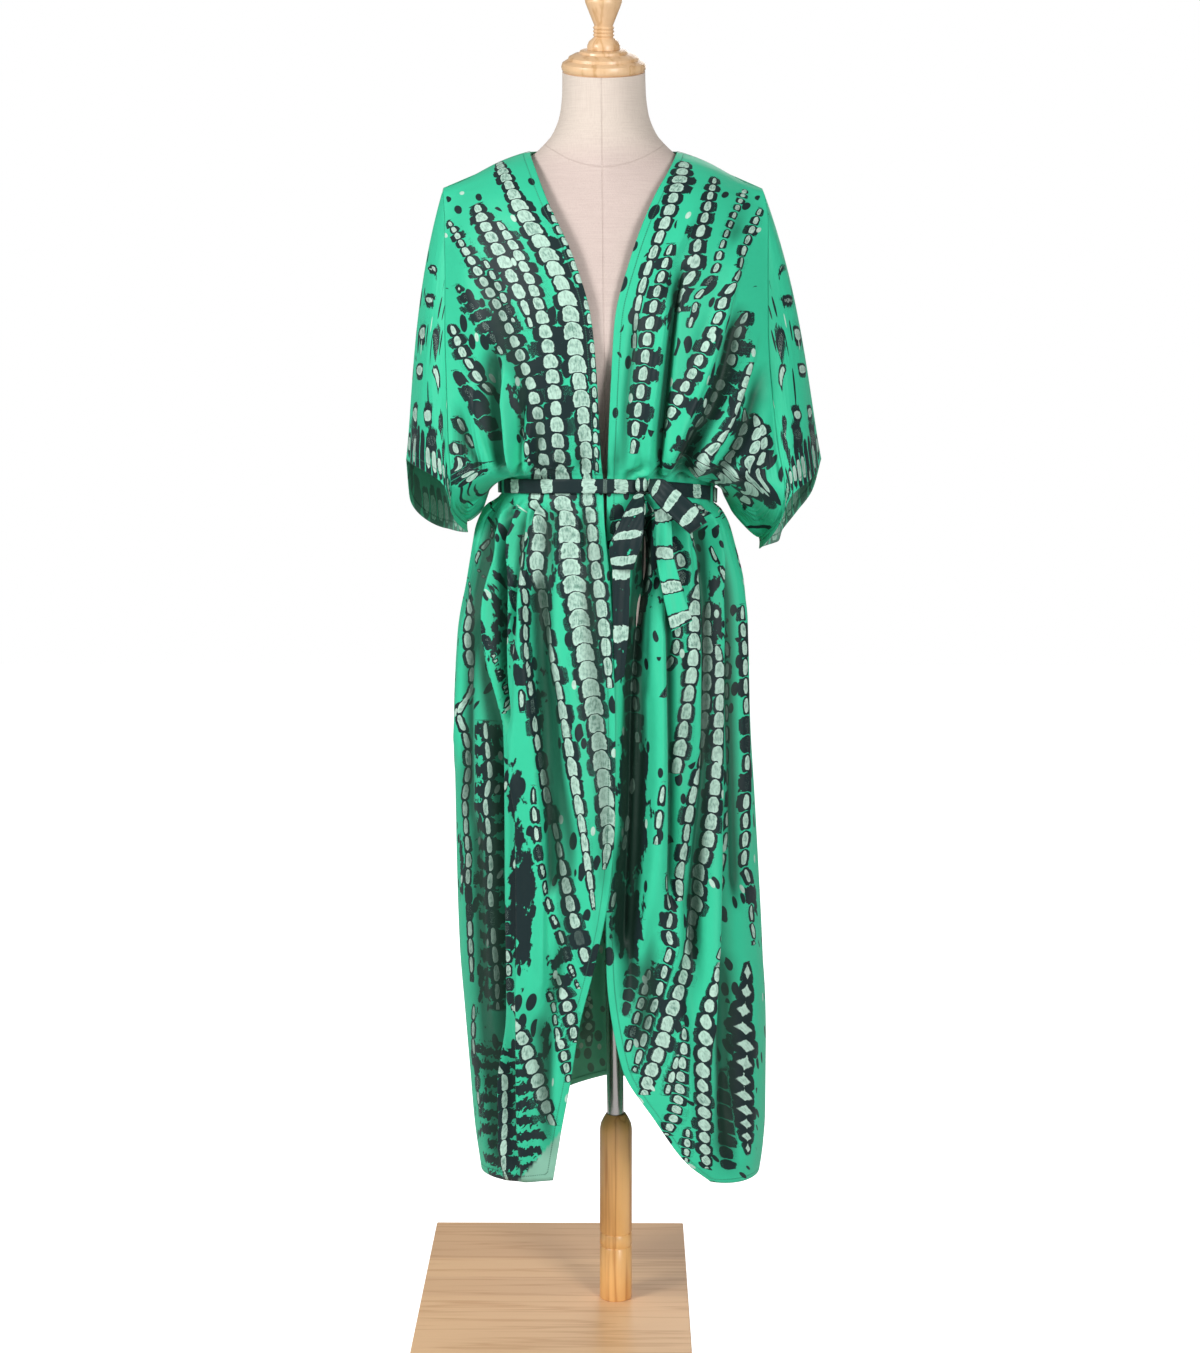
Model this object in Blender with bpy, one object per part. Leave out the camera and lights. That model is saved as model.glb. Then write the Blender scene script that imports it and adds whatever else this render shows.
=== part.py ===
"""A long open kimono cardigan with a tied belt, on a limbless dress form with a wooden stand.

Metres, +Z up, +X to the viewer's right, the front faces -Y. The origin is on the floor,
under the stand's column. "Left" and "right" are the viewer's.
"""

import math
from collections import namedtuple

import bpy
import numpy as np

# Cloth
WALL = 0.0013  # the wall that stands for the thin woven cloth
SEAM_GAP = 0.0004  # between two pieces that are sewn together
PANEL_STEP = 0.064  # length of a panel's facets, down the panel
FRONT_FACETS = 14  # facets across each front panel
BACK_FACETS = 11  # facets across each half of the back panel

# Belt
BELT_HEIGHT = 0.016
BELT_WALL = 0.0022
BELT_EASE = 0.0006  # between the cloth at the waist and the belt

# Stand
BASE_LEFT, BASE_RIGHT = -0.236, 0.088
BASE_FRONT, BASE_BACK = -0.180, 0.254
BASE_HEIGHT = 0.022
COLUMN_RADIUS = 0.0194
COLUMN_TOP = 0.252
POLE_RADIUS = 0.0100
FORM_BOTTOM = 0.700
NECK_TOP = 1.4747
NECK_TILT = math.radians(14)
LEAN_FOOT = 0.200  # height where the stand's lean to the left starts
LEAN = 0.0117  # metres to the left for each metre above it
CONTACT = 0.0003  # between two hard pieces that touch


def axis_x(z):
    """Where the leaning pole and the form's middle are at a height."""
    return -LEAN * max(z - LEAN_FOOT, 0.0)


# ---------------------------------------------------------------- curves and lofts


def smooth_through(knots, values, places):
    """Values at the places on a smooth curve through (knots, values) that never overshoots."""
    knots, values = np.asarray(knots, float), np.asarray(values, float)
    places = np.asarray(places, float)
    shape = values.shape[1:]
    values = values.reshape(len(knots), -1)
    step = np.diff(knots)[:, None]
    slope = np.diff(values, axis=0) / step
    tangent = np.zeros_like(values)
    tangent[0], tangent[-1] = slope[0], slope[-1]
    before, after = slope[:-1], slope[1:]
    same = before * after > 0
    weight_a, weight_b = 2 * step[1:] + step[:-1], step[1:] + 2 * step[:-1]
    mean = (weight_a + weight_b) / (
        weight_a / np.where(same, before, 1.0) + weight_b / np.where(same, after, 1.0)
    )
    tangent[1:-1] = np.where(same, mean, 0.0)
    k = np.clip(np.searchsorted(knots, places, side="right") - 1, 0, len(step) - 1)
    h = step[k]
    t = ((places - knots[k]) / h[:, 0])[:, None]
    out = (
        (2 * t**3 - 3 * t**2 + 1) * values[k]
        + (t**3 - 2 * t**2 + t) * h * tangent[k]
        + (3 * t**2 - 2 * t**3) * values[k + 1]
        + (t**3 - t**2) * h * tangent[k + 1]
    )
    return out.reshape((len(places),) + shape)


def bezier(start, handle_a, handle_b, end, t):
    """Points on a cubic curve; t is an array."""
    t = np.asarray(t)[:, None]
    s = 1 - t
    return s**3 * start + 3 * s * s * t * handle_a + 3 * s * t * t * handle_b + t**3 * end


def lofted(curves, step):
    """Rows of points on the surface through the given curves, about `step` apart."""
    curves = np.asarray(curves, float)
    span = np.linalg.norm(np.diff(curves, axis=0), axis=2).max(axis=1)
    knots = np.concatenate([[0.0], np.cumsum(span)])
    places = [0.0]
    for low, high in zip(knots[:-1], knots[1:]):
        count = max(1, math.ceil((high - low) / step - 0.2))
        places += list(np.linspace(low, high, count + 1)[1:])
    return smooth_through(knots, curves, np.array(places))


def grid_normals(grid):
    along = np.gradient(grid, axis=0)
    across = np.gradient(grid, axis=1)
    normal = np.cross(along, across)
    return normal / np.maximum(np.linalg.norm(normal, axis=2, keepdims=True), 1e-12)


# ---------------------------------------------------------------- the garment's sections

# One row for each level down a front panel, from the shoulder seam to the hem.
# z, x, depth: the panel's front edge; side_z, side_x: its armhole or side seam;
# side_front, side_back: how far that seam stands before and behind the middle;
# sag: how late the level drops between edge and seam; turn: 0 a flat meeting, 1 a round one.
Level = namedtuple("Level", "z x depth side_z side_x side_front side_back sag turn")

LEFT_LEVELS = (
    Level(1.386, -0.0990, 0.0100, 1.3450, -0.1975, 0.0100, -0.0092, 1.0, 0.0),
    Level(1.377, -0.0962, 0.0330, 1.3400, -0.1972, 0.0170, 0.0100, 1.1, 0.1),
    Level(1.362, -0.0905, 0.0560, 1.3300, -0.1965, 0.0240, 0.0220, 1.2, 0.2),
    Level(1.333, -0.0794, 0.0840, 1.3050, -0.1940, 0.0360, 0.0360, 1.5, 0.4),
    Level(1.259, -0.0457, 0.1170, 1.2450, -0.1932, 0.0480, 0.0500, 1.5, 0.6),
    Level(1.195, -0.0275, 0.1310, 1.1900, -0.1933, 0.0600, 0.0600, 1.5, 0.6),
    Level(1.130, -0.0214, 0.1330, 1.1280, -0.1916, 0.0690, 0.0700, 1.5, 0.5),
    Level(1.075, -0.0188, 0.1280, 1.0650, -0.1897, 0.0770, 0.0800, 2.0, 0.4),
    Level(1.045, -0.0172, 0.1220, 1.0200, -0.1868, 0.0840, 0.0880, 2.5, 0.3),
    Level(1.038, -0.0165, 0.1190, 0.9880, -0.1865, 0.0640, 0.0660, 2.5, 0.6),
    Level(1.033, -0.0160, 0.1170, 0.9660, -0.1735, 0.0004, 0.0004, 2.5, 1.0),
    Level(1.029, -0.0157, 0.1150, 0.9900, -0.1515, 0.0004, 0.0004, 2.5, 1.0),
    Level(1.026, -0.0154, 0.1138, 1.0080, -0.1455, 0.0004, 0.0004, 2.5, 1.0),
    Level(1.024, -0.0150, 0.1126, 1.0215, -0.1400, 0.0004, 0.0004, 2.2, 1.0),
    Level(1.0205, -0.0148, 0.1120, 1.0150, -0.1335, 0.0004, 0.0004, 1.5, 1.0),
    Level(1.0035, -0.0148, 0.1120, 0.9970, -0.1335, 0.0004, 0.0004, 1.5, 1.0),
    Level(0.998, -0.0143, 0.1130, 0.9920, -0.1375, 0.0004, 0.0004, 1.5, 1.0),
    Level(0.976, -0.0135, 0.1180, 0.9750, -0.1520, 0.0004, 0.0004, 1.5, 1.0),
    Level(0.950, -0.0110, 0.1230, 0.9510, -0.1615, 0.0004, 0.0004, 1.5, 1.0),
    Level(0.900, -0.0060, 0.1320, 0.9000, -0.1745, 0.0004, 0.0004, 1.5, 1.0),
    Level(0.830, -0.0025, 0.1410, 0.8300, -0.1860, 0.0004, 0.0004, 1.5, 1.0),
    Level(0.730, -0.0005, 0.1450, 0.7300, -0.1905, 0.0004, 0.0004, 1.5, 1.0),
    Level(0.640, -0.0010, 0.1470, 0.6400, -0.1895, 0.0004, 0.0004, 1.5, 1.0),
    Level(0.560, -0.0070, 0.1480, 0.5600, -0.1885, 0.0004, 0.0004, 1.5, 1.0),
    Level(0.470, -0.0240, 0.1460, 0.4650, -0.1860, 0.0004, 0.0004, 1.5, 1.0),
    Level(0.400, -0.0410, 0.1420, 0.3850, -0.1805, 0.0004, 0.0004, 1.5, 1.0),
    Level(0.330, -0.0520, 0.1400, 0.3000, -0.1740, 0.0004, 0.0004, 1.5, 1.0),
    Level(0.270, -0.0630, 0.1400, 0.2400, -0.1690, 0.0004, 0.0004, 1.5, 1.0),
    Level(0.216, -0.0720, 0.1380, 0.1880, -0.1620, 0.0004, 0.0004, 1.2, 1.0),
)

RIGHT_LEVELS = (
    Level(1.386, 0.0686, 0.0100, 1.3440, 0.1655, 0.0100, -0.0092, 1.0, 0.0),
    Level(1.377, 0.0655, 0.0330, 1.3395, 0.1668, 0.0170, 0.0100, 1.1, 0.1),
    Level(1.362, 0.0585, 0.0560, 1.3300, 0.1685, 0.0240, 0.0220, 1.2, 0.2),
    Level(1.333, 0.0425, 0.0850, 1.3050, 0.1710, 0.0360, 0.0360, 1.5, 0.4),
    Level(1.259, 0.0140, 0.1190, 1.2450, 0.1705, 0.0480, 0.0500, 1.5, 0.6),
    Level(1.195, -0.0020, 0.1310, 1.1850, 0.1707, 0.0600, 0.0600, 1.5, 0.6),
    Level(1.130, -0.0060, 0.1330, 1.1230, 0.1745, 0.0690, 0.0700, 1.5, 0.5),
    Level(1.075, -0.0085, 0.1280, 1.0600, 0.1812, 0.0780, 0.0820, 2.0, 0.4),
    Level(1.045, -0.0095, 0.1220, 1.0070, 0.1895, 0.0880, 0.0900, 2.5, 0.3),
    Level(1.038, -0.0100, 0.1190, 0.9780, 0.1880, 0.0680, 0.0700, 2.5, 0.6),
    Level(1.033, -0.0100, 0.1170, 0.9460, 0.1660, 0.0004, 0.0004, 2.5, 1.0),
    Level(1.029, -0.0100, 0.1150, 0.9740, 0.1370, 0.0004, 0.0004, 2.5, 1.0),
    Level(1.026, -0.0100, 0.1138, 0.9960, 0.1240, 0.0004, 0.0004, 2.5, 1.0),
    Level(1.024, -0.0102, 0.1126, 1.0095, 0.1190, 0.0004, 0.0004, 2.2, 1.0),
    Level(1.0205, -0.0104, 0.1120, 1.0030, 0.1125, 0.0004, 0.0004, 1.5, 1.0),
    Level(1.0035, -0.0106, 0.1120, 0.9850, 0.1125, 0.0004, 0.0004, 1.5, 1.0),
    Level(0.998, -0.0106, 0.1130, 0.9800, 0.1155, 0.0004, 0.0004, 1.5, 1.0),
    Level(0.976, -0.0110, 0.1160, 0.9620, 0.1265, 0.0004, 0.0004, 1.5, 1.0),
    Level(0.950, -0.0115, 0.1190, 0.9380, 0.1345, 0.0004, 0.0004, 1.5, 1.0),
    Level(0.900, -0.0120, 0.1260, 0.8900, 0.1475, 0.0004, 0.0004, 1.5, 1.0),
    Level(0.830, -0.0120, 0.1330, 0.8300, 0.1535, 0.0004, 0.0004, 1.5, 1.0),
    Level(0.730, -0.0120, 0.1370, 0.7300, 0.1570, 0.0004, 0.0004, 1.5, 1.0),
    Level(0.640, -0.0120, 0.1390, 0.6400, 0.1630, 0.0004, 0.0004, 1.5, 1.0),
    Level(0.560, -0.0120, 0.1400, 0.5600, 0.1680, 0.0004, 0.0004, 1.5, 1.0),
    Level(0.470, -0.0110, 0.1400, 0.4650, 0.1735, 0.0004, 0.0004, 1.5, 1.0),
    Level(0.353, 0.0060, 0.1400, 0.3400, 0.1785, 0.0004, 0.0004, 1.5, 1.0),
    Level(0.285, 0.0460, 0.1360, 0.2600, 0.1785, 0.0004, 0.0004, 1.2, 1.0),
    Level(0.235, 0.0800, 0.1280, 0.2150, 0.1755, 0.0004, 0.0004, 1.2, 1.0),
    Level(0.206, 0.1100, 0.1120, 0.1880, 0.1720, 0.0004, 0.0004, 1.0, 1.0),
)

# The back panel's middle at the same levels: z, depth behind the middle.
Spine = namedtuple("Spine", "z depth")
BACK_LEVELS = (
    Spine(1.396, 0.0600),
    Spine(1.383, 0.0680),
    Spine(1.365, 0.0760),
    Spine(1.325, 0.0920),
    Spine(1.259, 0.1060),
    Spine(1.195, 0.1100),
    Spine(1.130, 0.1100),
    Spine(1.075, 0.1110),
    Spine(1.045, 0.1120),
    Spine(1.034, 0.1110),
    Spine(1.028, 0.1080),
    Spine(1.024, 0.1050),
    Spine(1.021, 0.1030),
    Spine(1.0165, 0.1010),
    Spine(1.013, 0.1005),
    Spine(0.995, 0.1005),
    Spine(0.989, 0.1020),
    Spine(0.968, 0.1080),
    Spine(0.945, 0.1160),
    Spine(0.900, 0.1280),
    Spine(0.830, 0.1370),
    Spine(0.730, 0.1410),
    Spine(0.640, 0.1430),
    Spine(0.560, 0.1430),
    Spine(0.470, 0.1410),
    Spine(0.390, 0.1380),
    Spine(0.340, 0.1350),
    Spine(0.300, 0.1320),
    Spine(0.262, 0.1300),
)
ARMHOLE_LEVELS = 11  # the first levels, down to the underarm, border the sleeve
NECK_SHARE = 5 / 11  # the part of the back's half width that borders the neck
WAIST_LEVELS = (14, 15)  # the belt holds the cloth in between these
CREST_DROP = 0.0035  # how far below the seam's row the next row borders the neck
MIDDLE_HANDLE = 0.52  # how far a section runs straight across from the middle, as a part of its width
FLAT_HANDLE = (0.45, 0.18)  # where it turns to a side that it meets flat, in width and depth
ROUND_HANDLE = 0.56  # where it turns to a side that it meets square, in depth

# The largest folds of the skirt, as lines down the panel: a positive depth stands out.
Fold = namedtuple("Fold", "panel top_z top_x low_z low_x width depth")
FOLDS = (
    Fold("front_left", 0.96, -0.130, 0.26, -0.124, 0.011, -0.014),
    Fold("front_left", 0.96, -0.108, 0.24, -0.104, 0.010, 0.009),
    Fold("front_left", 0.93, -0.086, 0.34, -0.078, 0.010, -0.006),
    Fold("front_left", 0.62, -0.050, 0.30, -0.068, 0.012, 0.006),
    Fold("front_right", 0.99, 0.045, 0.45, 0.018, 0.012, -0.016),
    Fold("front_right", 0.96, 0.048, 0.50, 0.052, 0.012, 0.010),
    Fold("front_right", 0.95, 0.072, 0.40, 0.082, 0.009, -0.008),
    Fold("front_right", 0.95, 0.092, 0.30, 0.106, 0.012, 0.008),
    Fold("front_right", 0.95, 0.112, 0.26, 0.134, 0.010, -0.008),
    Fold("back", 0.96, -0.120, 0.30, -0.128, 0.014, -0.012),
    Fold("back", 0.97, -0.088, 0.24, -0.094, 0.014, 0.010),
    Fold("back", 0.96, -0.055, 0.32, -0.052, 0.013, -0.012),
    Fold("back", 0.98, -0.022, 0.30, -0.012, 0.014, 0.010),
    Fold("back", 0.96, 0.012, 0.34, 0.028, 0.013, -0.012),
    Fold("back", 0.97, 0.046, 0.26, 0.068, 0.014, 0.010),
    Fold("back", 0.96, 0.080, 0.30, 0.104, 0.013, -0.011),
)
FOLD_FADE = 0.07  # length over which a fold dies away at each end
FOLD_REST = 0.6  # the part of its depth that a fold keeps at its low end


def fold_height(panel, x, z):
    """How far the folds of a panel lift its surface at (x, z)."""
    total = np.zeros_like(x)
    for fold in FOLDS:
        if fold.panel != panel:
            continue
        down = (fold.top_z - z) / (fold.top_z - fold.low_z)
        centre = fold.top_x + (fold.low_x - fold.top_x) * down
        start = np.clip((fold.top_z - z) / FOLD_FADE, 0, 1)
        end = np.clip((z - fold.low_z) / FOLD_FADE + FOLD_REST, 0, 1)
        total += fold.depth * start * end * np.exp(-(((x - centre) / fold.width) ** 2))
    return total


def half_section(level, middle, side, u):
    """Points across half a panel, from `middle` (x, y, z) to `side` (x, y, z)."""
    middle, side = np.array(middle), np.array(side)
    reach = side - middle
    handle_a = middle + np.array([MIDDLE_HANDLE * reach[0], 0.0, 0.0])
    flat = np.array([FLAT_HANDLE[0] * reach[0], FLAT_HANDLE[1] * reach[1], 0.0])
    square = np.array([0.0, ROUND_HANDLE * reach[1], 0.0])
    handle_b = side - (1 - level.turn) * flat - level.turn * square
    points = bezier(middle, handle_a, handle_b, side, u)
    points[:, 2] = middle[2] + reach[2] * u**level.sag
    return points


def front_panel(panel, levels, facets, step):
    u = np.linspace(0, 1, facets + 1)
    curves = [
        half_section(
            level,
            (level.x, -level.depth, level.z),
            (level.side_x, -level.side_front, level.side_z),
            u,
        )
        for level in levels
    ]
    return folded(panel, lofted(curves, step))


def back_yoke(facets, level, spine, neck_drop):
    """One side of a row near the top of the back: round the back of the neck, then the shoulder."""
    neck_x, neck_z, shoulder_y = axis_x(level.z), level.z - neck_drop, level.side_back
    points = []
    for share in np.linspace(0, 1, facets + 1):
        turn = min(share / NECK_SHARE, 1) * math.pi / 2
        along = max(share - NECK_SHARE, 0) / (1 - NECK_SHARE)
        rim_x = neck_x + (level.x - neck_x) * math.sin(turn)
        rim_z = neck_z + (spine.z - neck_z) * math.cos(turn) ** 2
        points.append((
            rim_x + (level.side_x - level.x) * along,
            shoulder_y + (spine.depth - shoulder_y) * math.cos(turn),
            rim_z + (level.side_z - neck_z) * along,
        ))
    return np.array(points)


def back_half(levels, facets):
    u = np.linspace(0, 1, facets + 1)
    seam, crest = levels[0], levels[1]._replace(x=levels[0].x, z=levels[0].z)
    curves = [
        back_yoke(facets, seam, BACK_LEVELS[0], 0.0),
        back_yoke(facets, crest, BACK_LEVELS[1], CREST_DROP),
    ]
    for level, spine in zip(levels[2:], BACK_LEVELS[2:]):
        middle = (axis_x(spine.z), spine.depth, spine.z)
        side = (level.side_x, level.side_back, level.side_z)
        curves.append(half_section(level, middle, side, u))
    return curves


def back_panel(facets, step):
    left, right = back_half(LEFT_LEVELS, facets), back_half(RIGHT_LEVELS, facets)
    curves = [np.concatenate([a[::-1], b[1:]]) for a, b in zip(left, right)]
    return folded("back", lofted(curves, step))


def folded(panel, grid):
    """The grid with its folds, lifted away from the body's middle."""
    normal = grid_normals(grid)
    centre = np.array([axis_x(1.0), 0.0])
    outward = (normal[:, :, :2] * (grid[:, :, :2] - centre)).sum(axis=2, keepdims=True)
    normal = normal * np.sign(outward)
    return grid + normal * fold_height(panel, grid[:, :, 0], grid[:, :, 2])[:, :, None]


# ---------------------------------------------------------------- sleeves

# The cuff's edge, from the top fold round the front, the underarm and the back.
# share: how far round from the top fold.
Cuff = namedtuple("Cuff", "share x y z")
LEFT_CUFF = (
    Cuff(0.00, -0.2440, 0.0000, 1.0360),
    Cuff(0.14, -0.2280, -0.0500, 1.0300),
    Cuff(0.34, -0.1925, -0.0900, 1.0080),
    Cuff(0.43, -0.1860, -0.0560, 0.9720),
    Cuff(0.50, -0.1730, -0.0050, 0.9520),
    Cuff(0.60, -0.1880, 0.0560, 0.9480),
    Cuff(0.72, -0.2050, 0.0800, 0.9500),
    Cuff(0.84, -0.2280, 0.0600, 0.9630),
    Cuff(0.93, -0.2430, 0.0300, 0.9900),
    Cuff(1.00, -0.2440, 0.0000, 1.0360),
)
RIGHT_CUFF = (
    Cuff(0.00, 0.2370, 0.0000, 1.0370),
    Cuff(0.14, 0.2250, -0.0500, 1.0200),
    Cuff(0.34, 0.1965, -0.0930, 0.9990),
    Cuff(0.43, 0.1830, -0.0560, 0.9600),
    Cuff(0.50, 0.1660, -0.0050, 0.9330),
    Cuff(0.60, 0.1920, 0.0620, 0.9360),
    Cuff(0.72, 0.1980, 0.0780, 0.9480),
    Cuff(0.84, 0.2140, 0.0600, 0.9720),
    Cuff(0.93, 0.2300, 0.0300, 1.0000),
    Cuff(1.00, 0.2370, 0.0000, 1.0370),
)
SLEEVE_FACETS = 22
SLEEVE_ROWS = 6
SLEEVE_BULGE = 0.012
BULGE_LENGTH = 0.2  # a line of the sleeve this long or longer bulges in full
SLEEVE_CLEAR = 0.0036  # from the seam line, so that the two walls meet edge to edge


def side_edge(levels, back):
    """The armhole seam on one panel, from the shoulder down to the underarm."""
    points = [
        (level.side_x, level.side_back if back else -level.side_front, level.side_z)
        for level in levels[:ARMHOLE_LEVELS]
    ]
    return np.array(points)


def armhole(levels, shares):
    """Points round the armhole at the shares of the way round, front first."""
    loops = []
    for back in (False, True):
        edge = side_edge(levels, back)
        pieces = np.linalg.norm(np.diff(edge, axis=0), axis=1)
        length = np.concatenate([[0], np.cumsum(pieces)])
        loops.append((length / length[-1], edge))
    points = []
    for share in shares:
        knots, edge = loops[0] if share <= 0.5 else loops[1]
        place = share * 2 if share <= 0.5 else (1 - share) * 2
        points.append(smooth_through(knots, edge, [place])[0])
    return np.array(points)


def sleeve(levels, cuff, facets, rows):
    shares = np.linspace(0, 1, facets + 1)[:-1]
    top = armhole(levels, shares)
    knots = [row.share for row in cuff]
    low = smooth_through(knots, [(row.x, row.y, row.z) for row in cuff], shares)
    centre = np.array([axis_x(1.1), 0.0, 0.0])
    run = low - top
    length = np.linalg.norm(run, axis=1, keepdims=True)
    seam = np.roll(top, -1, axis=0) - np.roll(top, 1, axis=0)
    seam /= np.linalg.norm(seam, axis=1, keepdims=True)
    away = run - seam * (run * seam).sum(axis=1, keepdims=True)
    away /= np.linalg.norm(away, axis=1, keepdims=True)
    outward = (top + low) / 2 - centre
    outward[:, 2] = 0
    outward /= np.linalg.norm(outward, axis=1, keepdims=True)
    start = top + away * SLEEVE_CLEAR + outward * 2 * SEAM_GAP
    bulge = outward * SLEEVE_BULGE * np.minimum(length / BULGE_LENGTH, 1)
    grid = [
        start + (low - start) * t + bulge * 4 * t * (1 - t) ** 1.5
        for t in np.linspace(0, 1, rows + 1)
    ]
    return np.array(grid)


# ---------------------------------------------------------------- Blender objects


SHARP_TURN = math.radians(40)  # a turned edge sharper than this stays an edge


def material(name, colour, roughness, metallic=0.0):
    made = bpy.data.materials.new(name)
    made.use_nodes = True
    shader = made.node_tree.nodes["Principled BSDF"]
    shader.inputs["Base Color"].default_value = (*colour, 1.0)
    shader.inputs["Roughness"].default_value = roughness
    shader.inputs["Metallic"].default_value = metallic
    return made


def add_mesh(name, points, faces, finish, smooth=True):
    mesh = bpy.data.meshes.new(name)
    mesh.from_pydata([tuple(map(float, p)) for p in points], [], faces)
    mesh.validate()
    if smooth:
        mesh.shade_smooth()
    made = bpy.data.objects.new(name, mesh)
    bpy.context.scene.collection.objects.link(made)
    mesh.materials.append(finish)
    return made


def grid_faces(rows, columns, closed=False):
    """Quads between the points of a grid; closed joins the last column to the first."""
    faces = []
    for i in range(rows - 1):
        for j in range(columns if closed else columns - 1):
            here, after = i * columns + j, i * columns + (j + 1) % columns
            faces.append((here, after, after + columns, here + columns))
    return faces


def cloth(name, grid, finish, closed=False, wall=WALL):
    """A wall of cloth on a grid of points; closed makes it a tube."""
    rows, columns = grid.shape[:2]
    made = add_mesh(name, grid.reshape(-1, 3), grid_faces(rows, columns, closed), finish)
    solid = made.modifiers.new("wall", "SOLIDIFY")
    solid.thickness = wall
    solid.offset = 0.0


def turned(name, profile, segments, finish, place=(0, 0, 0), tilt=0.0, sway=0.0):
    """A turned solid: (radius, height) pairs from the axis below to the axis above."""
    points, faces = [(0.0, 0.0, profile[0][1])], []
    for radius, height in profile[1:-1]:
        for k in range(segments):
            angle = 2 * math.pi * k / segments
            points.append((radius * math.cos(angle), radius * math.sin(angle), height))
    points.append((0.0, 0.0, profile[-1][1]))
    rings = len(profile) - 2
    last = len(points) - 1
    for k in range(segments):
        after = (k + 1) % segments
        faces.append((0, 1 + after, 1 + k))
        for ring in range(rings - 1):
            a, b = 1 + ring * segments, 1 + (ring + 1) * segments
            faces.append((a + k, a + after, b + after, b + k))
        top = 1 + (rings - 1) * segments
        faces.append((top + k, top + after, last))
    made = add_mesh(name, points, faces, finish)
    made.data.set_sharp_from_angle(angle=SHARP_TURN)
    made.location = place
    made.rotation_euler = (tilt, sway, 0.0)
    return made


# ---------------------------------------------------------------- dress form

# z, half width, depth before and behind the middle, and how pointed the ring's ends are.
Ring = namedtuple("Ring", "z width front back power")
TORSO_RINGS = (
    Ring(FORM_BOTTOM, 0.1400, 0.1000, 0.1050, 2.2),
    Ring(0.760, 0.1480, 0.1050, 0.1140, 2.2),
    Ring(0.820, 0.1490, 0.1060, 0.1160, 2.2),
    Ring(0.880, 0.1420, 0.1030, 0.1080, 2.2),
    Ring(0.940, 0.1250, 0.0940, 0.0920, 2.2),
    Ring(1.000, 0.1130, 0.0860, 0.0800, 2.2),
    Ring(1.060, 0.1170, 0.0920, 0.0820, 2.2),
    Ring(1.120, 0.1270, 0.1120, 0.0880, 2.2),
    Ring(1.175, 0.1360, 0.1250, 0.0940, 2.2),
    Ring(1.230, 0.1420, 0.1140, 0.0970, 2.1),
    Ring(1.280, 0.1510, 0.0970, 0.0930, 2.0),
    Ring(1.310, 0.1600, 0.0860, 0.0870, 1.9),
    Ring(1.330, 0.1640, 0.0790, 0.0810, 1.7),
    Ring(1.343, 0.1620, 0.0740, 0.0740, 1.5),
    Ring(1.352, 0.1520, 0.0700, 0.0700, 1.4),
    Ring(1.362, 0.1285, 0.0670, 0.0660, 1.35),
    Ring(1.372, 0.1043, 0.0640, 0.0630, 1.4),
    Ring(1.382, 0.0825, 0.0610, 0.0590, 1.6),
    Ring(1.392, 0.0710, 0.0580, 0.0560, 1.9),
    Ring(1.405, 0.0595, 0.0540, 0.0520, 2.0),
    Ring(1.430, 0.0500, 0.0490, 0.0470, 2.0),
    Ring(1.452, 0.0475, 0.0475, 0.0455, 2.0),
    Ring(NECK_TOP, 0.0470, 0.0470, 0.0450, 2.0),
)
TORSO_SEGMENTS = 26
NECK_FORWARD = 0.006  # how far the neck's top leans to the front
NECK_FOOT = 1.380  # height where the neck starts to lean
SLANT_FOOT = 1.400  # height where the rings start to slant


def torso_point(ring, angle):
    """A point of a torso ring; angle 0 is to the right, a quarter turn is the back."""
    c, s = math.cos(angle), math.sin(angle)
    depth = ring.back if s > 0 else ring.front
    reach = (abs(c) ** ring.power + abs(s) ** ring.power) ** (-1 / ring.power)
    forward = NECK_FORWARD * max(ring.z - NECK_FOOT, 0) / (NECK_TOP - NECK_FOOT)
    x = axis_x(ring.z) + ring.width * reach * c
    y = depth * reach * s - forward
    slant = max(ring.z - SLANT_FOOT, 0) / (NECK_TOP - SLANT_FOOT) * math.tan(NECK_TILT)
    return x, y, ring.z + slant * (y + forward)


def dress_form(linen):
    n, rows = TORSO_SEGMENTS, len(TORSO_RINGS)
    points = [torso_point(ring, 2 * math.pi * k / n) for ring in TORSO_RINGS for k in range(n)]
    faces = grid_faces(rows, n, closed=True)
    faces.append(tuple(reversed(range(n))))
    faces.append(tuple(range((rows - 1) * n, rows * n)))
    add_mesh("form_torso", points, faces, linen)


# Radius and height above the neck, on the cap's own tilted axis.
CAP_PROFILE = (
    (0.0, 0.0),
    (0.0450, 0.0),
    (0.0474, 0.0025),
    (0.0482, 0.0060),
    (0.0470, 0.0100),
    (0.0425, 0.0128),
    (0.0405, 0.0135),
    (0.0398, 0.0165),
    (0.0335, 0.0198),
    (0.0278, 0.0208),
    (0.0270, 0.0232),
    (0.0235, 0.0248),
    (0.0, 0.0248),
)
FINIAL_PROFILE = (
    (0.0, 0.0251),
    (0.0186, 0.0251),
    (0.0187, 0.0290),
    (0.0168, 0.0335),
    (0.0130, 0.0368),
    (0.0108, 0.0388),
    (0.0122, 0.0408),
    (0.0108, 0.0428),
    (0.0122, 0.0448),
    (0.0108, 0.0468),
    (0.0122, 0.0488),
    (0.0106, 0.0512),
    (0.0125, 0.0560),
    (0.0158, 0.0640),
    (0.0190, 0.0720),
    (0.0208, 0.0765),
    (0.0212, 0.0795),
    (0.0196, 0.0830),
    (0.0160, 0.0885),
    (0.0105, 0.0935),
    (0.0050, 0.0960),
    (0.0, 0.0965),
)
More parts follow.
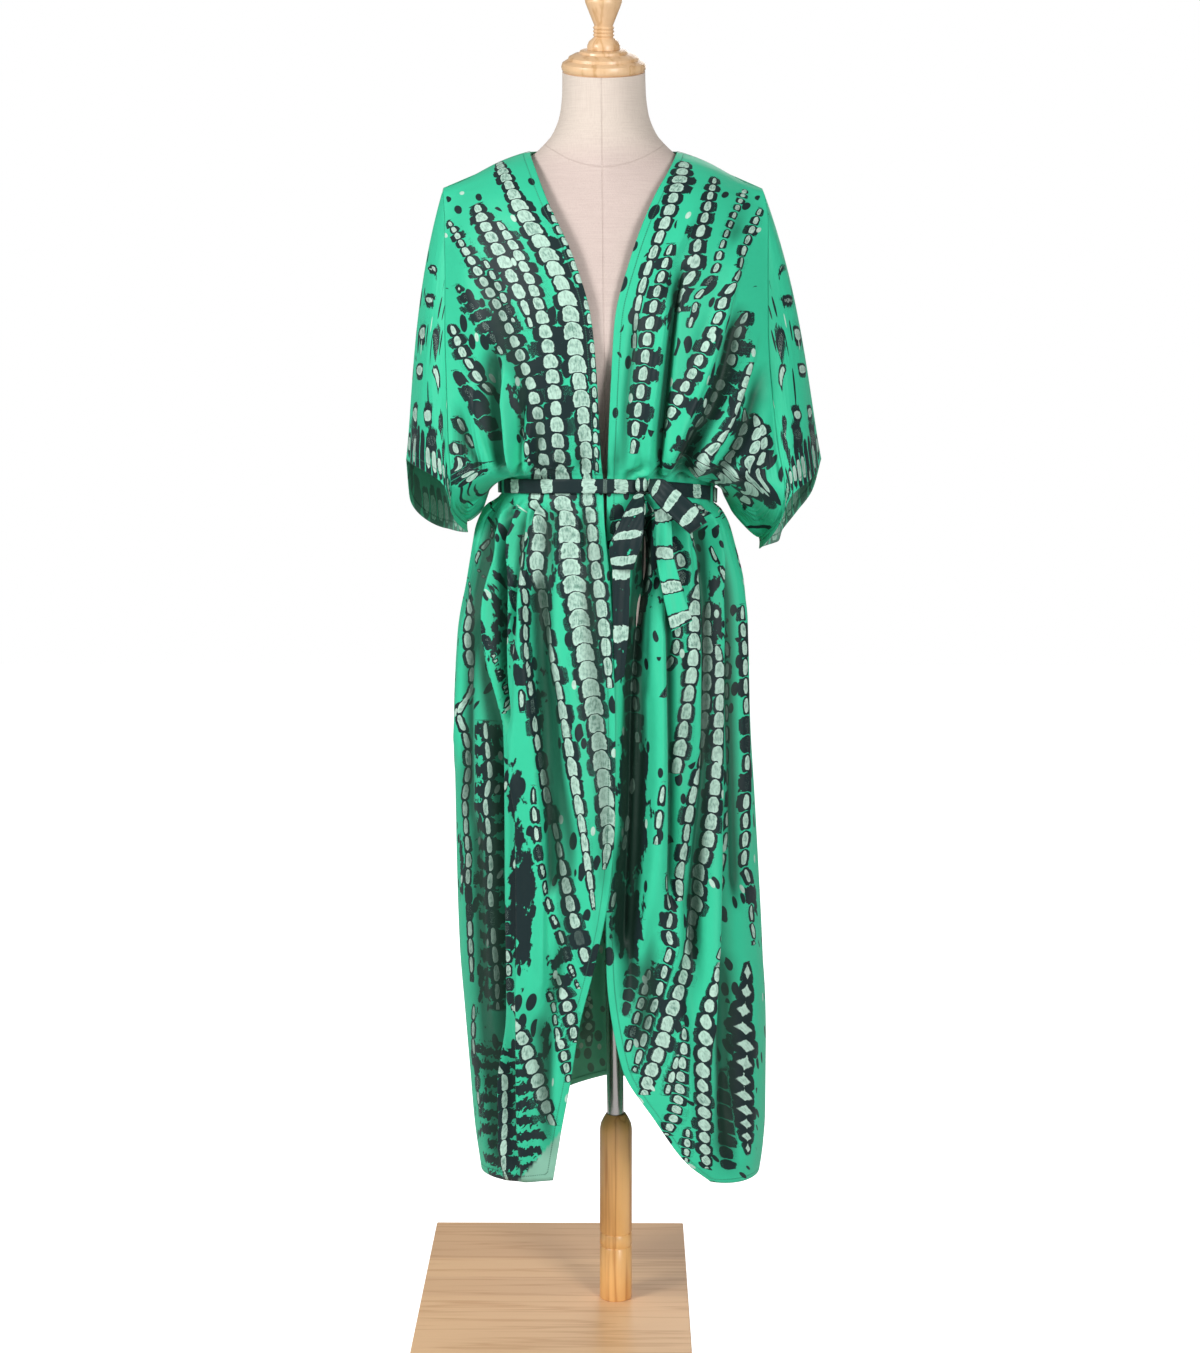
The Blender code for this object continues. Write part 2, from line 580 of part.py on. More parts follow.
COLUMN_PROFILE = (
    (0.0, BASE_HEIGHT + CONTACT),
    (COLUMN_RADIUS - 0.0005, BASE_HEIGHT + CONTACT),
    (COLUMN_RADIUS, BASE_HEIGHT + 0.0015),
    (COLUMN_RADIUS, 0.0865),
    (COLUMN_RADIUS - 0.0012, 0.0880),
    (COLUMN_RADIUS, 0.0895),
    (COLUMN_RADIUS, 0.1030),
    (COLUMN_RADIUS - 0.0012, 0.1045),
    (COLUMN_RADIUS, 0.1060),
    (COLUMN_RADIUS, 0.2330),
    (COLUMN_RADIUS - 0.0012, 0.2400),
    (COLUMN_RADIUS - 0.0045, 0.2470),
    (0.0118, COLUMN_TOP),
    (0.0, COLUMN_TOP),
)


ROUND_SEGMENTS = 24
FINIAL_SEGMENTS = 18
BASE_EDGE = 0.0015


def stand(pine, metal):
    foot = COLUMN_TOP + CONTACT
    height = (FORM_BOTTOM - CONTACT - foot) * math.hypot(1, LEAN)
    pole = ((0, 0), (POLE_RADIUS, 0), (POLE_RADIUS, height), (0, height))
    lean = {"place": (axis_x(foot), 0, foot), "sway": -math.atan(LEAN)}
    turned("stand_pole", pole, ROUND_SEGMENTS, metal, **lean)
    turned("stand_column", COLUMN_PROFILE, ROUND_SEGMENTS, pine)
    neck = {"place": (axis_x(NECK_TOP), -NECK_FORWARD, NECK_TOP + CONTACT), "tilt": NECK_TILT}
    turned("neck_cap", CAP_PROFILE, ROUND_SEGMENTS, pine, **neck)
    turned("finial", FINIAL_PROFILE, FINIAL_SEGMENTS, pine, **neck)
    corners = [
        (x, y, z)
        for x in (BASE_LEFT, BASE_RIGHT)
        for y in (BASE_FRONT, BASE_BACK)
        for z in (0.0, BASE_HEIGHT)
    ]
    faces = [(0, 1, 3, 2), (4, 6, 7, 5), (0, 4, 5, 1), (2, 3, 7, 6), (0, 2, 6, 4), (1, 5, 7, 3)]
    board = add_mesh("stand_base", corners, faces, pine, smooth=False)
    bevel = board.modifiers.new("eased edges", "BEVEL")
    bevel.width = BASE_EDGE
    bevel.segments = 2


# ---------------------------------------------------------------- belt and bow

BELT_FACETS = 56


def waist_loop(facets):
    """The cloth's outline at the waist, all round, as fine as asked."""
    u = np.linspace(0, 1, facets // 4 + 1)
    loops = []
    for levels in (LEFT_LEVELS, RIGHT_LEVELS):
        halves = []
        for number in WAIST_LEVELS:
            level, spine = levels[number], BACK_LEVELS[number]
            side = (level.side_x, 0.0, level.side_z)
            halves.append((
                half_section(level, (level.x, -level.depth, level.z), side, u),
                half_section(level, (axis_x(spine.z), spine.depth, spine.z), side, u),
            ))
        loops.append([(above + below) / 2 for above, below in zip(*halves)])
    (left_front, left_back), (right_front, right_back) = loops
    back = [left_back[::-1][1:], right_back[1:]]
    return np.concatenate([left_front, *back, right_front[::-1][1:]])


def ring_normals(loop):
    ahead = np.roll(loop, -1, axis=0) - np.roll(loop, 1, axis=0)
    normal = np.stack([ahead[:, 1], -ahead[:, 0], np.zeros(len(loop))], axis=1)
    normal /= np.linalg.norm(normal, axis=1, keepdims=True)
    middle = loop.mean(axis=0)
    if ((loop - middle) * normal).sum() < 0:
        normal = -normal
    return normal


def belt(finish):
    loop = waist_loop(BELT_FACETS)
    out = ring_normals(loop) * (WALL / 2 + BELT_EASE + BELT_WALL / 2)
    rows = [loop + out + np.array([0, 0, dz]) for dz in (BELT_HEIGHT / 2, -BELT_HEIGHT / 2)]
    cloth("belt", np.array(rows), finish, closed=True, wall=BELT_WALL)


# A band of the belt's cloth: x, y, z of its middle line and half its width as (wide_x, wide_z).
Band = namedtuple("Band", "x y z wide_x wide_z")
BOW = {
    "bow_loop_left": (
        Band(0.0262, -0.1205, 1.0053, 0.0042, 0.0000),
        Band(0.0205, -0.1400, 0.9900, 0.0105, 0.0030),
        Band(0.0170, -0.1490, 0.9750, 0.0138, 0.0030),
        Band(0.0100, -0.1545, 0.9470, 0.0175, 0.0020),
        Band(0.0075, -0.1535, 0.9290, 0.0130, 0.0010),
        Band(0.0078, -0.1500, 0.9225, 0.0115, 0.0000),
        Band(0.0090, -0.1460, 0.9300, 0.0120, 0.0010),
        Band(0.0130, -0.1420, 0.9550, 0.0125, 0.0020),
        Band(0.0195, -0.1340, 0.9850, 0.0100, 0.0020),
        Band(0.0262, -0.1187, 1.0050, 0.0042, 0.0000),
    ),
    "bow_loop_right": (
        Band(0.0359, -0.1190, 1.0155, 0.0010, 0.0048),
        Band(0.0450, -0.1400, 1.0110, 0.0050, 0.0105),
        Band(0.0600, -0.1500, 0.9990, 0.0075, 0.0105),
        Band(0.0780, -0.1530, 0.9830, 0.0090, 0.0095),
        Band(0.0880, -0.1510, 0.9710, 0.0095, 0.0070),
        Band(0.0905, -0.1460, 0.9680, 0.0095, 0.0065),
        Band(0.0860, -0.1420, 0.9730, 0.0095, 0.0080),
        Band(0.0700, -0.1400, 0.9870, 0.0080, 0.0095),
        Band(0.0500, -0.1310, 1.0030, 0.0055, 0.0090),
        Band(0.0360, -0.1170, 1.0125, 0.0010, 0.0045),
    ),
    "belt_end_left": (
        Band(0.0270, -0.1169, 1.0045, 0.0036, 0.0000),
        Band(0.0240, -0.1275, 0.9850, 0.0085, 0.0020),
        Band(0.0130, -0.1380, 0.9500, 0.0095, 0.0000),
        Band(0.0055, -0.1430, 0.9150, 0.0097, 0.0000),
        Band(0.0054, -0.1440, 0.8650, 0.0089, 0.0000),
        Band(0.0040, -0.1445, 0.7980, 0.0052, 0.0040),
    ),
    "belt_end_right": (
        Band(0.0325, -0.1148, 1.0045, 0.0030, 0.0000),
        Band(0.0430, -0.1215, 0.9960, 0.0066, 0.0030),
        Band(0.0520, -0.1330, 0.9840, 0.0092, 0.0020),
        Band(0.0530, -0.1370, 0.9450, 0.0095, 0.0000),
        Band(0.0610, -0.1400, 0.9040, 0.0108, 0.0015),
        Band(0.0732, -0.1420, 0.8580, 0.0117, 0.0060),
    ),
}
BAND_WALL = 0.0012
BAND_STEP = 0.016
KNOT_PLACE = (0.0280, -0.1168, 1.0135)
KNOT_SIZE = (0.0068, 0.0064, 0.0082)
KNOT_SQUARENESS = 0.75


def band(name, rows, finish):
    """A band of cloth through the rows, three points wide."""
    middle = np.array([(row.x, row.y, row.z) for row in rows])
    wide = np.array([(row.wide_x, 0.0, row.wide_z) for row in rows])
    curves = np.stack([middle - wide, middle, middle + wide], axis=1)
    cloth(name, lofted(curves, BAND_STEP), finish, wall=BAND_WALL)


def squared(value):
    return math.copysign(abs(value) ** KNOT_SQUARENESS, value)


def knot(finish, segments=14, rings=8):
    """The bow's knot: a squarish lump."""
    profile = []
    for k in range(rings + 1):
        angle = math.pi * (k / rings - 0.5)
        profile.append((abs(squared(math.cos(angle))), squared(math.sin(angle))))
    profile[0], profile[-1] = (0.0, -1.0), (0.0, 1.0)
    made = turned("belt_knot", profile, segments, finish)
    for vertex in made.data.vertices:
        vertex.co = np.array(KNOT_PLACE) + np.array(vertex.co) * KNOT_SIZE


CARRIER_WIDTH = 0.006
CARRIER_HEIGHT = 0.019
CARRIER_WALL = 0.0009
CARRIER_TURNS = {"belt_carrier_left": 0.205, "belt_carrier_right": 0.795}  # share of the waist


def belt_carriers(finish):
    """The thin loops that hold the belt at the side seams."""
    loop = waist_loop(BELT_FACETS)
    out = ring_normals(loop)
    reach = WALL / 2 + BELT_EASE + BELT_WALL + SEAM_GAP + CARRIER_WALL / 2
    for name, share in CARRIER_TURNS.items():
        place = int(share * len(loop))
        middle, normal = loop[place] + out[place] * reach, out[place]
        along = np.array([-normal[1], normal[0], 0.0]) * CARRIER_WIDTH / 2
        up = np.array([0.0, 0.0, CARRIER_HEIGHT / 2])
        rows = [[edge - along, edge + along] for edge in (middle + up, middle - up)]
        cloth(name, np.array(rows), finish, wall=CARRIER_WALL)


def main():
    for item in list(bpy.data.objects):
        bpy.data.objects.remove(item)
    green = material("printed green cloth", (0.045, 0.57, 0.30), 0.55)
    linen = material("linen cover", (0.75, 0.68, 0.60), 0.85)
    pine = material("varnished pine", (0.78, 0.48, 0.26), 0.45)
    metal = material("brushed steel", (0.60, 0.55, 0.52), 0.3, 1.0)
    for side, levels, cuff in (("left", LEFT_LEVELS, LEFT_CUFF), ("right", RIGHT_LEVELS, RIGHT_CUFF)):
        panel = "front_" + side
        cloth(panel, front_panel(panel, levels, FRONT_FACETS, PANEL_STEP), green)
        tube = sleeve(levels, cuff, SLEEVE_FACETS, SLEEVE_ROWS)
        cloth("sleeve_" + side, tube, green, closed=True)
    cloth("back", back_panel(BACK_FACETS, PANEL_STEP), green)
    belt(green)
    belt_carriers(green)
    knot(green)
    for name, rows in BOW.items():
        band(name, rows, green)
    dress_form(linen)
    stand(pine, metal)


main()
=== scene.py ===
"""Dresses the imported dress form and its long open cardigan: printed satin, linen, wood, steel.

Metres, +Z up, +X to the viewer's right, the front faces -Y. "Left" and "right" are the viewer's.
The garment is lofted again on the sections of its solids, finer and with all its folds, and the
print is laid on it as columns of cells that follow the cloth.
"""

import math
import random
from collections import namedtuple

import bpy
import numpy as np
from mathutils import Euler, Matrix, Vector


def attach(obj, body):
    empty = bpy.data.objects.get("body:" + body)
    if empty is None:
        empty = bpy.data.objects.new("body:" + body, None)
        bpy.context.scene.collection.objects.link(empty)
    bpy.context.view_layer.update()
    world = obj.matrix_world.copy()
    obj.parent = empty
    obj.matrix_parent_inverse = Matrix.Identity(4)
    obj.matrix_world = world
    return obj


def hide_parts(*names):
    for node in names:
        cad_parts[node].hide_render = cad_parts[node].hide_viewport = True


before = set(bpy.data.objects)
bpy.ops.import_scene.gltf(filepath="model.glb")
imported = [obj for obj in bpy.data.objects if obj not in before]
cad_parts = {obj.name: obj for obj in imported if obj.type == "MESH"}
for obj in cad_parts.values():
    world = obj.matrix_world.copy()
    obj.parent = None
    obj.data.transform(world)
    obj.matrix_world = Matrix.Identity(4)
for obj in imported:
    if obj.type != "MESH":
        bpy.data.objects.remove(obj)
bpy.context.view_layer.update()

# Camera: the photograph's size in pixels, its focal length in pixels, and where it stood.
PHOTO_WIDTH, PHOTO_HEIGHT = 1200, 1353
FOCAL_PIXELS = 2494
SENSOR = 36.0
CAMERA_PLACE = (0.0052, -2.9, 1.179)
CAMERA_PITCH = math.radians(7.797)
CAMERA_YAW = math.radians(0.482)

# Cloth
CLOTH = 0.0006  # thickness of the woven cloth
ROW_STEP = 0.006  # length of a mesh row, down a panel
FRONT_COLUMNS = 170
BACK_COLUMNS = 90  # in each half
HEM_FRONT = 0.008  # width of the turned hem on the front edges and the bottom
HEM_CUFF = 0.010

# Belt
BELT_HEIGHT = 0.016
BELT_WALL = 0.0022  # its layers, pressed flat
BELT_EASE = 0.0006  # between the belt and the cloth
WAIST_CLOTH = 0.0013  # the cloth's bulk under the belt

# Stand
BASE_LEFT, BASE_RIGHT = -0.236, 0.088
BASE_FRONT, BASE_BACK = -0.180, 0.254
BASE_HEIGHT = 0.022
COLUMN_RADIUS = 0.0194
COLUMN_TOP = 0.252
POLE_RADIUS = 0.0100
FORM_BOTTOM = 0.700
NECK_TOP = 1.4747
NECK_TILT = math.radians(14)
LEAN_FOOT = 0.200  # height where the leaning axis starts
LEAN = 0.0117  # sideways a metre of height, to the left
CONTACT = 0.0003  # between two parts that touch

# Finish of the cloth and the fineness of the scene's meshes
FADE = 0.45  # how far the print pales on the wrong side
SLEEVE_CLEAR = 0.0005  # from the seam line
SLEEVE_COLUMNS = 132
SLEEVE_ROWS = 70
SLEEVE_BULGE = 0.012
BULGE_LENGTH = 0.2  # a line of the sleeve this long or longer bulges in full
SEAM_LINE = 0.0015  # width of the shade along an edge that isn't hemmed
BELT_FACETS = 320
BELT_ROWS = 7
BAND_COLUMNS = 13  # across a band of the bow
BAND_STEP = 0.003
BAND_WALL = 0.0012
KNOT_COLUMNS = 48
KNOT_ROWS = 26
BASE_EDGE = 0.0015  # width of the board's eased edges
BAND_RIPPLE = 0.0007  # depth of the ripples along the bow's bands
RIPPLE_FADE = 0.02  # length over which the ripples start at a band's ends
RIPPLE_WIDTH = 0.0062  # half of a ripple, across the band
RIPPLE_TWIST = 0.028  # length down a band over which the ripples drift by a radian
BAND_LEAST = 0.006  # the least half width that the print of a band is laid out for
BELT_WAVE, BELT_WAVES = 0.0005, (190, 37)  # depth of the belt's slack waves, radians a metre
BELT_PRINT_START = 0.009  # how far the belt's cells are moved along it

# Stage and wood
WORLD_LIGHT = 0.22
FLOOR_GLOW = 0.95  # the floor's own light, for the camera alone
COLUMN_WOOD, COLUMN_GRAIN = (0.88, 0.50, 0.18, 1.0), (0.60, 0.27, 0.08, 1.0)
TURNED_WOOD, TURNED_GRAIN = (0.80, 0.53, 0.30, 1.0), (0.62, 0.36, 0.16, 1.0)
BOARD_WOOD, BOARD_GRAIN = (0.90, 0.57, 0.31, 1.0), (0.74, 0.43, 0.21, 1.0)
FINE_GRAIN = 420.0  # scale of the noise that draws the wood's fibres
POLE_STEEL = (0.55, 0.52, 0.50, 1.0)
WHITE = (1.0, 1.0, 1.0, 1.0)
FLOOR_GREY = (0.72, 0.72, 0.72, 1.0)
BOARD_STAVE = 0.062  # width of the strips that the board is glued up from


# ---------------------------------------------------------------- curves and lofts


def axis_x(z):
    """Where the leaning pole and the form's middle are at a height."""
    return -LEAN * max(z - LEAN_FOOT, 0.0)


def smooth_through(knots, values, places):
    """Values at the places on a smooth curve through (knots, values) that never overshoots."""
    knots, values = np.asarray(knots, float), np.asarray(values, float)
    places = np.asarray(places, float)
    shape = values.shape[1:]
    values = values.reshape(len(knots), -1)
    step = np.diff(knots)[:, None]
    slope = np.diff(values, axis=0) / step
    tangent = np.zeros_like(values)
    tangent[0], tangent[-1] = slope[0], slope[-1]
    before, after = slope[:-1], slope[1:]
    same = before * after > 0
    weight_a, weight_b = 2 * step[1:] + step[:-1], step[1:] + 2 * step[:-1]
    mean = (weight_a + weight_b) / (
        weight_a / np.where(same, before, 1.0) + weight_b / np.where(same, after, 1.0)
    )
    tangent[1:-1] = np.where(same, mean, 0.0)
    k = np.clip(np.searchsorted(knots, places, side="right") - 1, 0, len(step) - 1)
    h = step[k]
    t = ((places - knots[k]) / h[:, 0])[:, None]
    out = (
        (2 * t**3 - 3 * t**2 + 1) * values[k]
        + (t**3 - 2 * t**2 + t) * h * tangent[k]
        + (3 * t**2 - 2 * t**3) * values[k + 1]
        + (t**3 - t**2) * h * tangent[k + 1]
    )
    return out.reshape((len(places),) + shape)


def bezier(start, handle_a, handle_b, end, t):
    """Points on a cubic curve; t is an array."""
    t = np.asarray(t)[:, None]
    s = 1 - t
    return s**3 * start + 3 * s * s * t * handle_a + 3 * s * t * t * handle_b + t**3 * end


def lofted(curves, step):
    """Rows of points on the surface through the given curves, about `step` apart."""
    curves = np.asarray(curves, float)
    span = np.linalg.norm(np.diff(curves, axis=0), axis=2).max(axis=1)
    knots = np.concatenate([[0.0], np.cumsum(span)])
    places = [0.0]
    for low, high in zip(knots[:-1], knots[1:]):
        count = max(1, math.ceil((high - low) / step - 0.2))
        places += list(np.linspace(low, high, count + 1)[1:])
    return smooth_through(knots, curves, np.array(places))


def grid_normals(grid):
    """Unit normals of a grid of points."""
    along = np.gradient(grid, axis=0)
    across = np.gradient(grid, axis=1)
    normal = np.cross(along, across)
    return normal / np.maximum(np.linalg.norm(normal, axis=2, keepdims=True), 1e-12)


def half_section(level, middle, side, u):
    """Points across half a panel, from `middle` (x, y, z) to `side` (x, y, z)."""
    middle, side = np.array(middle), np.array(side)
    reach = side - middle
    handle_a = middle + np.array([MIDDLE_HANDLE * reach[0], 0.0, 0.0])
    flat = np.array([FLAT_HANDLE[0] * reach[0], FLAT_HANDLE[1] * reach[1], 0.0])
    square = np.array([0.0, ROUND_HANDLE * reach[1], 0.0])
    handle_b = side - (1 - level.turn) * flat - level.turn * square
    points = bezier(middle, handle_a, handle_b, side, u)
    points[:, 2] = middle[2] + reach[2] * u**level.sag
    return points


# One row for each level down a front panel, from the shoulder seam to the hem.
# z, x, depth: the panel's front edge; side_z, side_x: its armhole or side seam;
# sag: how late the level drops between edge and seam; side_front, side_back: how far that seam
# stands before and behind the middle; turn: 0 a flat meeting, 1 a round one.
SIDE_GAP = 0.0004  # half the gap at a side seam
Level = namedtuple(
    "Level",
    "z x depth side_z side_x sag side_front side_back turn",
    defaults=(1.5, SIDE_GAP, SIDE_GAP, 1.0),
)

LEFT_LEVELS = (
    Level(1.386, -0.0990, 0.0100, 1.3450, -0.1975, 1.0, 0.0100, -0.0092, 0.0),
    Level(1.377, -0.0962, 0.0330, 1.3400, -0.1972, 1.1, 0.0170, 0.0100, 0.1),
    Level(1.362, -0.0905, 0.0560, 1.3300, -0.1965, 1.2, 0.0240, 0.0220, 0.2),
    Level(1.333, -0.0794, 0.0840, 1.3050, -0.1940, 1.5, 0.0360, 0.0360, 0.4),
    Level(1.259, -0.0457, 0.1170, 1.2450, -0.1932, 1.5, 0.0480, 0.0500, 0.6),
    Level(1.195, -0.0275, 0.1310, 1.1900, -0.1933, 1.5, 0.0600, 0.0600, 0.6),
    Level(1.130, -0.0214, 0.1330, 1.1280, -0.1916, 1.5, 0.0690, 0.0700, 0.5),
    Level(1.075, -0.0188, 0.1280, 1.0650, -0.1897, 2.0, 0.0770, 0.0800, 0.4),
    Level(1.045, -0.0172, 0.1220, 1.0200, -0.1868, 2.5, 0.0840, 0.0880, 0.3),
    Level(1.038, -0.0165, 0.1190, 0.9880, -0.1865, 2.5, 0.0640, 0.0660, 0.6),
    Level(1.033, -0.0160, 0.1170, 0.9660, -0.1735, 2.5),
    Level(1.029, -0.0157, 0.1150, 0.9900, -0.1515, 2.5),
    Level(1.026, -0.0154, 0.1138, 1.0080, -0.1455, 2.5),
    Level(1.024, -0.0150, 0.1126, 1.0215, -0.1400, 2.2),
    Level(1.0205, -0.0148, 0.1120, 1.0150, -0.1335),
    Level(1.0035, -0.0148, 0.1120, 0.9970, -0.1335),
    Level(0.998, -0.0143, 0.1130, 0.9920, -0.1375),
    Level(0.976, -0.0135, 0.1180, 0.9750, -0.1520),
    Level(0.950, -0.0110, 0.1230, 0.9510, -0.1615),
    Level(0.900, -0.0060, 0.1320, 0.9000, -0.1745),
    Level(0.830, -0.0025, 0.1410, 0.8300, -0.1860),
    Level(0.730, -0.0005, 0.1450, 0.7300, -0.1905),
    Level(0.640, -0.0010, 0.1470, 0.6400, -0.1895),
    Level(0.560, -0.0070, 0.1480, 0.5600, -0.1885),
    Level(0.470, -0.0240, 0.1460, 0.4650, -0.1860),
    Level(0.400, -0.0410, 0.1420, 0.3850, -0.1805),
    Level(0.330, -0.0520, 0.1400, 0.3000, -0.1740),
    Level(0.270, -0.0630, 0.1400, 0.2400, -0.1690),
    Level(0.216, -0.0720, 0.1380, 0.1880, -0.1620, 1.2),
)

RIGHT_LEVELS = (
    Level(1.386, 0.0686, 0.0100, 1.3440, 0.1655, 1.0, 0.0100, -0.0092, 0.0),
    Level(1.377, 0.0655, 0.0330, 1.3395, 0.1668, 1.1, 0.0170, 0.0100, 0.1),
    Level(1.362, 0.0585, 0.0560, 1.3300, 0.1685, 1.2, 0.0240, 0.0220, 0.2),
    Level(1.333, 0.0425, 0.0850, 1.3050, 0.1710, 1.5, 0.0360, 0.0360, 0.4),
    Level(1.259, 0.0140, 0.1190, 1.2450, 0.1705, 1.5, 0.0480, 0.0500, 0.6),
    Level(1.195, -0.0020, 0.1310, 1.1850, 0.1707, 1.5, 0.0600, 0.0600, 0.6),
    Level(1.130, -0.0060, 0.1330, 1.1230, 0.1745, 1.5, 0.0690, 0.0700, 0.5),
    Level(1.075, -0.0085, 0.1280, 1.0600, 0.1812, 2.0, 0.0780, 0.0820, 0.4),
    Level(1.045, -0.0095, 0.1220, 1.0070, 0.1895, 2.5, 0.0880, 0.0900, 0.3),
    Level(1.038, -0.0100, 0.1190, 0.9780, 0.1880, 2.5, 0.0680, 0.0700, 0.6),
    Level(1.033, -0.0100, 0.1170, 0.9460, 0.1660, 2.5),
    Level(1.029, -0.0100, 0.1150, 0.9740, 0.1370, 2.5),
    Level(1.026, -0.0100, 0.1138, 0.9960, 0.1240, 2.5),
    Level(1.024, -0.0102, 0.1126, 1.0095, 0.1190, 2.2),
    Level(1.0205, -0.0104, 0.1120, 1.0030, 0.1125),
    Level(1.0035, -0.0106, 0.1120, 0.9850, 0.1125),
    Level(0.998, -0.0106, 0.1130, 0.9800, 0.1155),
    Level(0.976, -0.0110, 0.1160, 0.9620, 0.1265),
    Level(0.950, -0.0115, 0.1190, 0.9380, 0.1345),
    Level(0.900, -0.0120, 0.1260, 0.8900, 0.1475),
    Level(0.830, -0.0120, 0.1330, 0.8300, 0.1535),
    Level(0.730, -0.0120, 0.1370, 0.7300, 0.1570),
    Level(0.640, -0.0120, 0.1390, 0.6400, 0.1630),
    Level(0.560, -0.0120, 0.1400, 0.5600, 0.1680),
    Level(0.470, -0.0110, 0.1400, 0.4650, 0.1735),
    Level(0.353, 0.0060, 0.1400, 0.3400, 0.1785),
    Level(0.285, 0.0460, 0.1360, 0.2600, 0.1785, 1.2),
    Level(0.235, 0.0800, 0.1280, 0.2150, 0.1755, 1.2),
    Level(0.206, 0.1100, 0.1120, 0.1880, 0.1720, 1.0),
)

# The back panel's middle at the same levels: z, depth behind the middle.
Spine = namedtuple("Spine", "z depth")
BACK_LEVELS = (
    Spine(1.396, 0.0600),
    Spine(1.383, 0.0680),
    Spine(1.365, 0.0760),
    Spine(1.325, 0.0920),
    Spine(1.259, 0.1060),
    Spine(1.195, 0.1100),
    Spine(1.130, 0.1100),
    Spine(1.075, 0.1110),
    Spine(1.045, 0.1120),
    Spine(1.034, 0.1110),
    Spine(1.028, 0.1080),
    Spine(1.024, 0.1050),
    Spine(1.021, 0.1030),
    Spine(1.0165, 0.1010),
    Spine(1.013, 0.1005),
    Spine(0.995, 0.1005),
    Spine(0.989, 0.1020),
    Spine(0.968, 0.1080),
    Spine(0.945, 0.1160),
    Spine(0.900, 0.1280),
    Spine(0.830, 0.1370),
    Spine(0.730, 0.1410),
    Spine(0.640, 0.1430),
    Spine(0.560, 0.1430),
    Spine(0.470, 0.1410),
    Spine(0.390, 0.1380),
    Spine(0.340, 0.1350),
    Spine(0.300, 0.1320),
    Spine(0.262, 0.1300),
)
ARMHOLE_LEVELS = 11  # the first levels, down to the underarm, border the sleeve
NECK_SHARE = 5 / 11  # the part of the back's half width that borders the neck
WAIST_LEVELS = (14, 15)  # the belt holds the cloth in between these
CREST_DROP = 0.0035  # how far below the seam's row the next row borders the neck
MIDDLE_HANDLE = 0.52  # how far a section runs straight across from the middle, in its width
FLAT_HANDLE = (0.45, 0.18)  # where it turns to a side that it meets flat, in width and depth
ROUND_HANDLE = 0.56  # where it turns to a side that it meets square, in depth


# The folds, as lines down a panel: a positive depth stands out, and lean says which side is steep.
Fold = namedtuple("Fold", "panel top_z top_x low_z low_x width depth lean")
FOLDS = (
    # left skirt
    Fold("front_left", 0.96, -0.130, 0.26, -0.124, 0.011, -0.014, 0.0),
    Fold("front_left", 0.96, -0.108, 0.24, -0.104, 0.010, 0.009, -0.8),
    Fold("front_left", 0.93, -0.086, 0.34, -0.078, 0.010, -0.006, 0.0),
    Fold("front_left", 0.62, -0.050, 0.30, -0.068, 0.012, 0.006, -0.5),
    # right skirt
    Fold("front_right", 0.99, 0.045, 0.45, 0.018, 0.012, -0.016, 0.0),
    Fold("front_right", 0.96, 0.048, 0.50, 0.052, 0.012, 0.010, 0.4),
    Fold("front_right", 0.95, 0.072, 0.40, 0.082, 0.009, -0.008, 0.0),
    Fold("front_right", 0.95, 0.092, 0.30, 0.106, 0.012, 0.008, -0.4),
    Fold("front_right", 0.95, 0.112, 0.26, 0.134, 0.010, -0.008, 0.0),
    # back
    Fold("back", 0.96, -0.120, 0.30, -0.128, 0.014, -0.012, 0.0),
    Fold("back", 0.97, -0.088, 0.24, -0.094, 0.014, 0.010, 0.3),
    Fold("back", 0.96, -0.055, 0.32, -0.052, 0.013, -0.012, 0.0),
    Fold("back", 0.98, -0.022, 0.30, -0.012, 0.014, 0.010, -0.3),
    Fold("back", 0.96, 0.012, 0.34, 0.028, 0.013, -0.012, 0.0),
    Fold("back", 0.97, 0.046, 0.26, 0.068, 0.014, 0.010, 0.3),
    Fold("back", 0.96, 0.080, 0.30, 0.104, 0.013, -0.011, 0.0),
)
FOLD_FADE = 0.07  # length over which a fold dies away at each end
FOLD_REST = 0.6  # the part of its depth that a fold keeps at its low end
STEEP = 1.5  # how much narrower a leaning fold's steep side is
OVERHANG = 0.45  # how far a leaning fold's crest moves to its steep side, in depths


